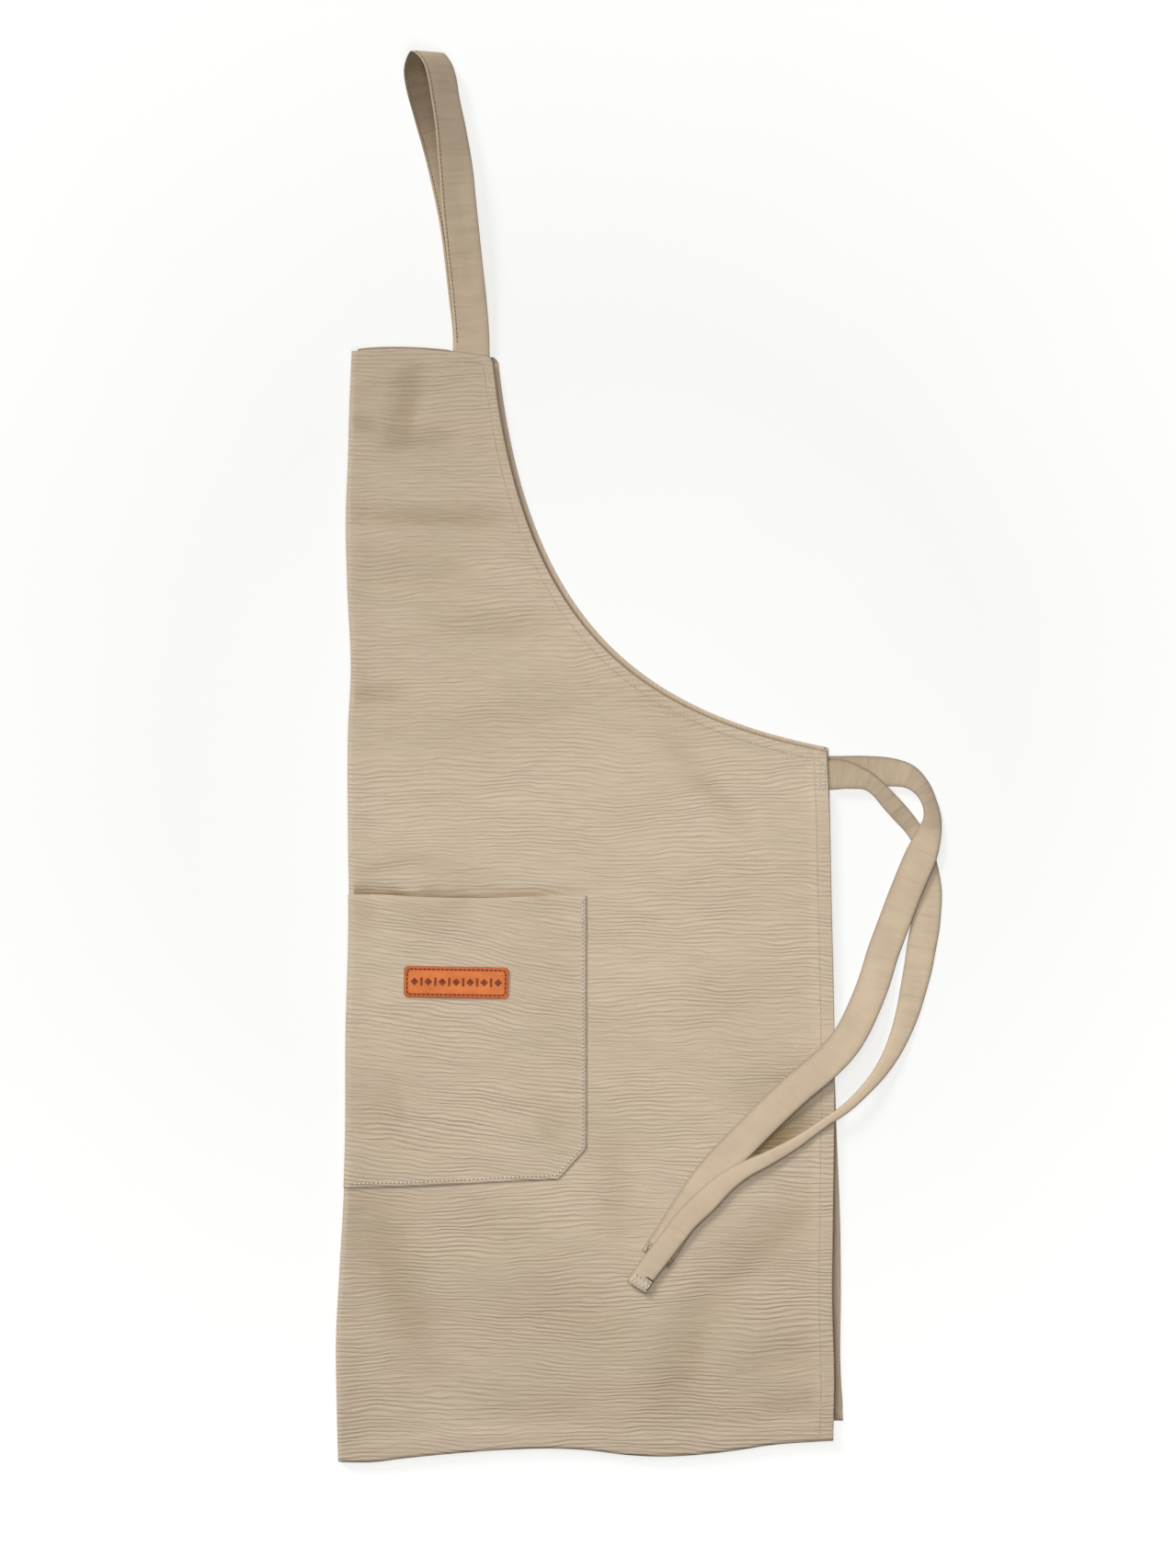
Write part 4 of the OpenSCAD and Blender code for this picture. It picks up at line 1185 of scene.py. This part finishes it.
def neck_strap():
    """The strap as its lower strand, which stays, and its upper strand."""
    edges = smooth_route(np.hstack([STRAP_LEFT, STRAP_RIGHT]), 1.6)
    strip = Strip(edges[:, :3], edges[:, 3:], row=STRAP_ROW)
    turn = int(np.argmax(strip.middle[:, 1]))
    last = len(edges) - 1
    inside = LOOP_SHADE * smoothstep(-120, -30, strip.gone - strip.gone[turn])
    rear = strip.mesh("neck_strap_rear_strand", "strap", 0, turn + 1, ("last",), inside)
    front = strip.mesh("neck_strap_front_strand", "strap", turn, None, ("first",))
    sewn = int(np.argmax(strip.middle[:, 1] > bib_top + 4))
    low_end = last - int(np.argmax(strip.middle[::-1, 1] > bib_top + 4))
    stitches("neck_strap_rear_stitches", strip.stitch_places(sewn, turn, STRAP_ROW), "back_half",
             0.8, 0.4, "strap_thread")
    front_row = stitches("neck_strap_front_stitches", strip.stitch_places(turn, low_end, STRAP_ROW), None,
                         0.8, 0.4, "strap_thread")
    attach(rear, "back_half")
    for piece in (front, front_row):
        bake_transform(piece)
    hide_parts("neck_strap_back", "back_strap_end")
    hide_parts("neck_strap_front", "front_strap_end")


neck_strap()

# The ties' routes, as in the frame: x, y, z, roll in degrees, width and height as the cloth curls
back_tie_route = [
    (170, -11, 2.8, 0, 23, 1.2), (172, -11, 2.8, 0, 23, 1.2), (184, -11, 2.6, 0, 23, 1.2),
    (198, -11, 2.4, 0, 23, 1.2), (214, -11, 2.8, 4, 21, 1.4), (228, -14, 3.6, 10, 18, 2),
    (238, -22, 4.2, 18, 14, 2.6), (244, -33, 4.6, 22, 12, 2.8), (246, -45, 4.8, 15, 14, 2.6),
    (243, -58, 5.2, 0, 19, 1.6), (238, -72, 5.2, 0, 23, 1.2), (231, -88, 4.4, 0, 23, 1.2),
    (224, -106, 3.4, 0, 23, 1.2), (217, -124, 2.8, 0, 23, 1.2), (211, -141, 2, 0, 23, 1.2),
    (205, -160, 4.4, 0, 23, 1.2), (198, -178, 8.4, 0, 23, 1.2), (190, -194, 12, 0, 23, 1.2),
    (180, -209, 14, 0, 23, 1.2), (166, -223, 14, 0, 23, 1.2), (150, -237, 12.8, 0, 23, 1.2),
    (134, -252, 11, 0, 23, 1.2), (117, -269, 9.6, 0, 23, 1.2), (98, -288, 9.2, 0, 23, 1.2),
    (82, -307, 9.2, 0, 23, 1.2), (67, -330, 9.2, 0, 23, 1.2), (55, -349, 9.2, 0, 23, 1.2),
    (51, -355, 9.2, 0, 23, 1.2)]
front_tie_route = [
    (170, -13, 5.2, 0, 22, 1.2), (172, -13, 5.2, 0, 22, 1.2), (181, -13, 5.4, 0, 21, 1.2),
    (191, -15, 5.8, 0, 17, 1.6), (200, -18, 6, 0, 13, 2.4), (208, -24, 5.6, 0, 12, 2.4),
    (216, -33, 4.6, 0, 13, 2.2), (224, -42, 3, 0, 13, 2), (231, -50, 1.8, 0, 12, 2),
    (237, -59, 1.4, 0, 12, 2), (241, -69, 1.4, 0, 13, 2), (243, -82, 1.2, 0, 16, 1.6),
    (244, -96, 1, 0, 19, 1.2), (243, -110, 0.9, 0, 20, 1.2), (241, -125, 0.9, 0, 21, 1.2),
    (238, -141, 0.9, 0, 21, 1.2), (235, -157, 0.9, 0, 20, 1.2), (229, -183, 1.4, 0, 17, 1.6),
    (220, -208, 3.4, 0, 13, 2.2), (209, -226, 6.4, 0, 10, 2.6), (197, -240, 9.4, 0, 8, 2.6),
    (184, -252, 10.2, 0, 7, 2.6), (170, -262, 10, 0, 6.5, 2.6), (156, -272, 9.8, 0, 7.5, 2.6),
    (142, -281, 10.2, 0, 9, 2.4), (127, -289, 11.2, 0, 10.5, 2.2), (112, -296, 11.2, 0, 12, 2),
    (97, -306, 11.2, 0, 15, 1.8), (83, -319, 11.2, 0, 17.5, 1.6), (70, -332, 11.2, 0, 17, 1.6),
    (59, -346, 11.2, 0, 16.5, 1.6), (49, -359, 11.2, 0, 16.5, 1.6), (39.75, -371, 11.2, 0, 16, 1.6),
    (38.5, -373, 11.2, 0, 16, 1.6)]


def routed_strip(route, settle_on=lambda path: path):
    """A strip along a route of x, y, z, roll, width and height."""
    path = settle_on(smooth_route(route, 2.0))
    ahead = unit_rows(np.gradient(path[:, :3], axis=0))
    level = unit_rows(np.cross(ahead, (0, 0, 1)))
    roll = np.radians(path[:, 3])[:, None]
    side = level * np.cos(roll) + np.cross(level, ahead) * np.sin(roll)
    gone = polyline_lengths(path[:, :3])
    wander = 0.14 * np.sin(gone / 17.0) + 0.09 * np.sin(gone / 6.3 + 1)
    centre = path[:, :3] + side * wander[:, None]
    reach = side * path[:, 4:5] / 2
    return Strip(centre - reach, centre + reach, path[:, 5]), path


def on_panel(path):
    """Lets a tie sink onto the slack front layer where it lies over it."""
    path = path.copy()
    dip = front_top - (front_mid(path[:, 0], path[:, 1]) + CLOTH / 2)
    over = smoothstep(7.5, 9.0, path[:, 2]) * smoothstep(0, 12, 180 - path[:, 0])
    path[:, 2] -= 0.8 * dip * over
    return path


def tip_zigzag(name, start, end, width, body, thread):
    """Close zigzag stitches over the hem at a tie's end."""
    start, end = start + [0, 0, 1.12], end + [0, 0, 1.12]
    along = (end - start) / np.linalg.norm(end - start)
    side = np.array([along[1], -along[0], 0])
    middle, reach = (start + end) / 2, np.linalg.norm(end - start) / 2 - 0.9
    places, up = [], (0, 0, 1)
    across = np.arange(-width / 2 + 1.3, width / 2 - 1.2, 1.5)
    for k, off in enumerate(across):
        lean = side * (0.7 if k % 2 else -0.7)
        at = middle + side * off
        places.append((at - along * reach + lean, at + along * reach - lean, up))
    for row in (-reach, 0, reach):
        for off in across[::2]:
            at = middle + along * row + side * off
            places.append((at - side * 1.2, at + side * 1.2, up))
    return stitches(name, places, body, 0.8, 0.6, thread)


def tie(name, route, tip_end, body, thread, end_node, free_node, tip_node):
    """A waist tie with its sewn end and its tip."""
    strip, path = routed_strip(route, on_panel)
    piece = strip.mesh(name, "tie", shade=TIE_SHADE * (1 - smoothstep(50, 140, strip.gone)))
    tip_width = route[-1][4]
    tip_start, tip_end = path[-1, :3], np.array([*tip_end, path[-1, 2]])
    tip_strip, _ = routed_strip([(*tip_start, 0, tip_width, 2.0), (*tip_end, 0, tip_width, 2.0)])
    tip_piece = tip_strip.mesh(name + "_tip_hem", "tie")
    x, y, z, _, width, _ = route[0]
    end_strip, _ = routed_strip([(x - 10, y, z, 0, width, 1.2), (x - 0.3, y, z, 0, width, 1.2)])
    end_piece = end_strip.mesh(name + "_sewn_end", "tie")
    for part, node in ((piece, free_node), (tip_piece, tip_node), (end_piece, end_node)):
        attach(part, body)
        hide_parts(node)
    zigzag = tip_zigzag(name + "_tip_stitches", tip_start, tip_end, tip_width, body, thread)
    for part in (piece, tip_piece, zigzag):
        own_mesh(part)


tie("back_waist_tie_strip", back_tie_route, (47, -361), "back_half", "strap_thread",
    "back_tie_end", "back_waist_tie", "back_tie_tip")
tie("front_waist_tie_strip", front_tie_route, (33.5, -381), "front_half", "pale_thread",
    "front_tie_end", "front_waist_tie", "front_tie_tip")


# ---------------------------------------------------------------- leather label

LABEL_L, LABEL_H, LABEL_T, LABEL_R = 75.0, 22.5, 1.2, 3.0
LABEL_CELL = 0.375
LABEL_TILT = math.radians(-1)
LABEL_INSET = 2.2                    # of its stitches from its rim
LABEL_ROUND, LABEL_GROOVE, LABEL_PRESS = 0.45, 0.16, 0.32   # depths of rim, stitch row and motif
label_centre = (label_low + label_high)[:2] / 2


def rounded_box(x, y, half_l, half_h, radius):
    """Signed distance into a rounded rectangle, positive inside."""
    qx, qy = np.abs(x) - half_l + radius, np.abs(y) - half_h + radius
    outside = np.hypot(np.maximum(qx, 0), np.maximum(qy, 0))
    return radius - outside - np.minimum(np.maximum(qx, qy), 0)


MOTIF_STEP, MOTIF_REACH = 5, 6
DIAMOND, BAR = 4.0, (1.6, 6.0)       # side of a diamond, and width and height of a bar


def motif(x, y):
    """1 inside a plain motif of diamonds and short bars by turns."""
    inside = np.full(x.shape, -9.0)
    for i in range(-MOTIF_REACH, MOTIF_REACH + 1):
        off = np.abs(x - i * MOTIF_STEP)
        if i % 2:
            one = np.minimum(BAR[0] / 2 - off, BAR[1] / 2 - np.abs(y))
        else:
            one = (DIAMOND / math.sqrt(2) - off - np.abs(y)) / math.sqrt(2)
        inside = np.maximum(inside, one)
    return smoothstep(-0.22, 0.22, inside)


def label_plane(px, py):
    """The label lies on a smooth sheet a little above the pocket."""
    along = [(-LABEL_L / 2, 0), (LABEL_L / 2, 0), (0, LABEL_H / 2), (0, -LABEL_H / 2), (0, 0)]
    xs, ys = (label_centre + along).T
    heights = pocket_mid(xs, ys)
    sheet = np.stack([xs, ys, np.ones(len(along))], 1)
    fit = np.linalg.lstsq(sheet, heights, rcond=None)[0]
    lowest = (heights - sheet @ fit).max()
    return fit[0] * px + fit[1] * py + fit[2] + lowest + CLOTH / 2 + 0.05


def label_place(x, y):
    """Place and height on the pocket of a point of the label."""
    c, s = math.cos(LABEL_TILT), math.sin(LABEL_TILT)
    px, py = label_centre[0] + c * x - s * y, label_centre[1] + s * x + c * y
    return px, py, label_plane(px, py)


def label_piece():
    """The plate: a grid pulled in at its corners, with a flat underside and a wall round it."""
    nx, ny = int(LABEL_L / LABEL_CELL), int(LABEL_H / LABEL_CELL)
    u, v = np.meshgrid(np.linspace(-1, 1, nx + 1), np.linspace(-1, 1, ny + 1))
    x, y = u * LABEL_L / 2, v * LABEL_H / 2
    corner_x, corner_y = LABEL_L / 2 - LABEL_R, LABEL_H / 2 - LABEL_R
    over_x, over_y = np.maximum(np.abs(x) - corner_x, 0), np.maximum(np.abs(y) - corner_y, 0)
    reach = np.maximum(over_x, over_y)
    far = np.maximum(np.hypot(over_x, over_y), 1e-9)
    x = np.sign(x) * (np.minimum(np.abs(x), corner_x) + over_x * reach / far)
    y = np.sign(y) * (np.minimum(np.abs(y), corner_y) + over_y * reach / far)
    inside = rounded_box(x, y, LABEL_L / 2, LABEL_H / 2, LABEL_R)
    pressed = motif(x, y)
    edge = LABEL_ROUND * (1 - smoothstep(0, 0.9, inside))
    groove = LABEL_GROOVE * np.exp(-((inside - LABEL_INSET) / 0.55)**2)
    px, py, base = label_place(x, y)
    top = np.stack([px, py, base + LABEL_T - edge - groove - LABEL_PRESS * pressed], -1)
    under = np.stack([px, py, base], -1)
    points = np.vstack([top.reshape(-1, 3), under.reshape(-1, 3)])
    rows, columns = ny + 1, nx + 1
    faces = grid_faces(rows, columns)
    count = rows * columns
    index = np.arange(count).reshape(rows, columns)
    rim = np.concatenate([index[0, :], index[1:, -1], index[-1, -2::-1], index[-2:0:-1, 0]])
    wall = [[a, b, b + count, a + count] for a, b in zip(rim, np.roll(rim, -1))]
    everything = faces[:, ::-1].tolist() + (faces + count).tolist() + wall
    flat = np.stack([x, y], -1).reshape(-1, 2)
    darker = np.clip(1 - inside / 1.5, 0, 1) + 0.75 * np.exp(-((inside - LABEL_INSET) / 0.9)**2)
    piece = make_piece("leather_label_plate", points, everything, "leather", np.vstack([flat, flat]),
                       rim=np.concatenate([darker.ravel(), np.ones(count)]),
                       pressed=np.concatenate([pressed.ravel(), np.zeros(count)]))
    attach(piece, "front_half")
    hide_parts("leather_label", "label_deboss_inlay")
    return piece


def label_stitches():
    """Dark stitches round the label, just inside its rim."""
    half_l, half_h = LABEL_L / 2 - LABEL_INSET, LABEL_H / 2 - LABEL_INSET
    turn = LABEL_R - LABEL_INSET + 0.6
    line = []
    for cx, cy, start in ((half_l, half_h, 0), (-half_l, half_h, 90), (-half_l, -half_h, 180),
                          (half_l, -half_h, 270)):
        mx, my = cx - math.copysign(turn, cx), cy - math.copysign(turn, cy)
        line += [(mx + turn * math.cos(a), my + turn * math.sin(a))
                 for a in np.radians([start, start + 30, start + 60, start + 90])]
    line.append(line[0])
    line = resample(np.array(line), 3.2)
    px, py, base = label_place(line[:, 0], line[:, 1])
    spots = np.stack([px, py, base + LABEL_T + 0.02], 1)
    places = [(a + (b - a) * 0.17, b - (b - a) * 0.17, (0, 0, 1)) for a, b in zip(spots[:-1], spots[1:])]
    piece = stitches("label_edge_stitches", places, "front_half", 1.05, 0.4, "dark_thread")
    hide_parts("label_thread")


label_piece()
label_stitches()


# ---------------------------------------------------------------- floor and light

FLOOR_HALF = 6.0                     # metres
FLOOR_GLOW = (0.70, 0.86)            # near the apron, and far from it
WORLD_LIGHT, KEY_LIGHT, TOP_LIGHT = 0.13, 2.35, 4.7


def make_floor():
    """A white table top, with a little light of its own."""
    mesh = bpy.data.meshes.new("floor")
    half = FLOOR_HALF
    mesh.from_pydata([(-half, -half, 0), (half, -half, 0), (half, half, 0), (-half, half, 0)], [],
                     [(0, 1, 2, 3)])
    n = Nodes("floor_white")
    place = n.add("TexCoord").outputs["Object"]
    grain = n.add("TexNoise", Vector=place, Scale=3.0, Detail=2.0).outputs["Fac"]
    tone = n.mix(n.ramp(grain, 0.3, 0.7), rgba(0.245, 0.245, 0.242), rgba(0.255, 0.255, 0.252))
    n.feed(n.shader.inputs["Base Color"], tone)
    far = n.add("VectorMath", {"operation": "LENGTH"}, Vector=place).outputs["Value"]
    n.shader.inputs["Emission Color"].default_value = rgba(1.0, 1.0, 0.985)
    n.feed(n.shader.inputs["Emission Strength"], n.ramp(far, 0.3, 0.7, *FLOOR_GLOW))
    n.shader.inputs["Roughness"].default_value = 0.9
    n.shader.inputs["Specular IOR Level"].default_value = 0.0
    mesh.materials.append(n.material)
    floor = bpy.data.objects.new("floor", mesh)
    bpy.context.scene.collection.objects.link(floor)


def aim(lamp, place, target=(0, 0, 0)):
    """Puts a light at a place and points it at another."""
    lamp.location = place
    lamp.rotation_euler = (Vector(target) - Vector(place)).to_track_quat("-Z", "Y").to_euler()
    lamp.visible_camera = False
    bpy.context.scene.collection.objects.link(lamp)


def area_light(name, place, size, power):
    data = bpy.data.lights.new(name, "AREA")
    data.shape = "DISK"
    data.size = size
    data.energy = power
    aim(bpy.data.objects.new(name, data), place, (place[0], place[1], 0))


def sun_light(name, place, soft, strength):
    data = bpy.data.lights.new(name, "SUN")
    data.angle = math.radians(soft)
    data.energy = strength
    aim(bpy.data.objects.new(name, data), place)


def make_light():
    world = bpy.data.worlds.new("studio")
    world.use_nodes = True
    world.node_tree.nodes["Background"].inputs["Color"].default_value = (1.0, 1.0, 1.0, 1)
    world.node_tree.nodes["Background"].inputs["Strength"].default_value = WORLD_LIGHT
    bpy.context.scene.world = world
    sun_light("key_light", (-1.5, 1.9, 1.5), 20, KEY_LIGHT)
    area_light("top_light", (0.0, -0.10, 0.85), 0.5, TOP_LIGHT)
    bpy.context.scene.view_settings.view_transform = "Standard"


make_floor()
make_light()
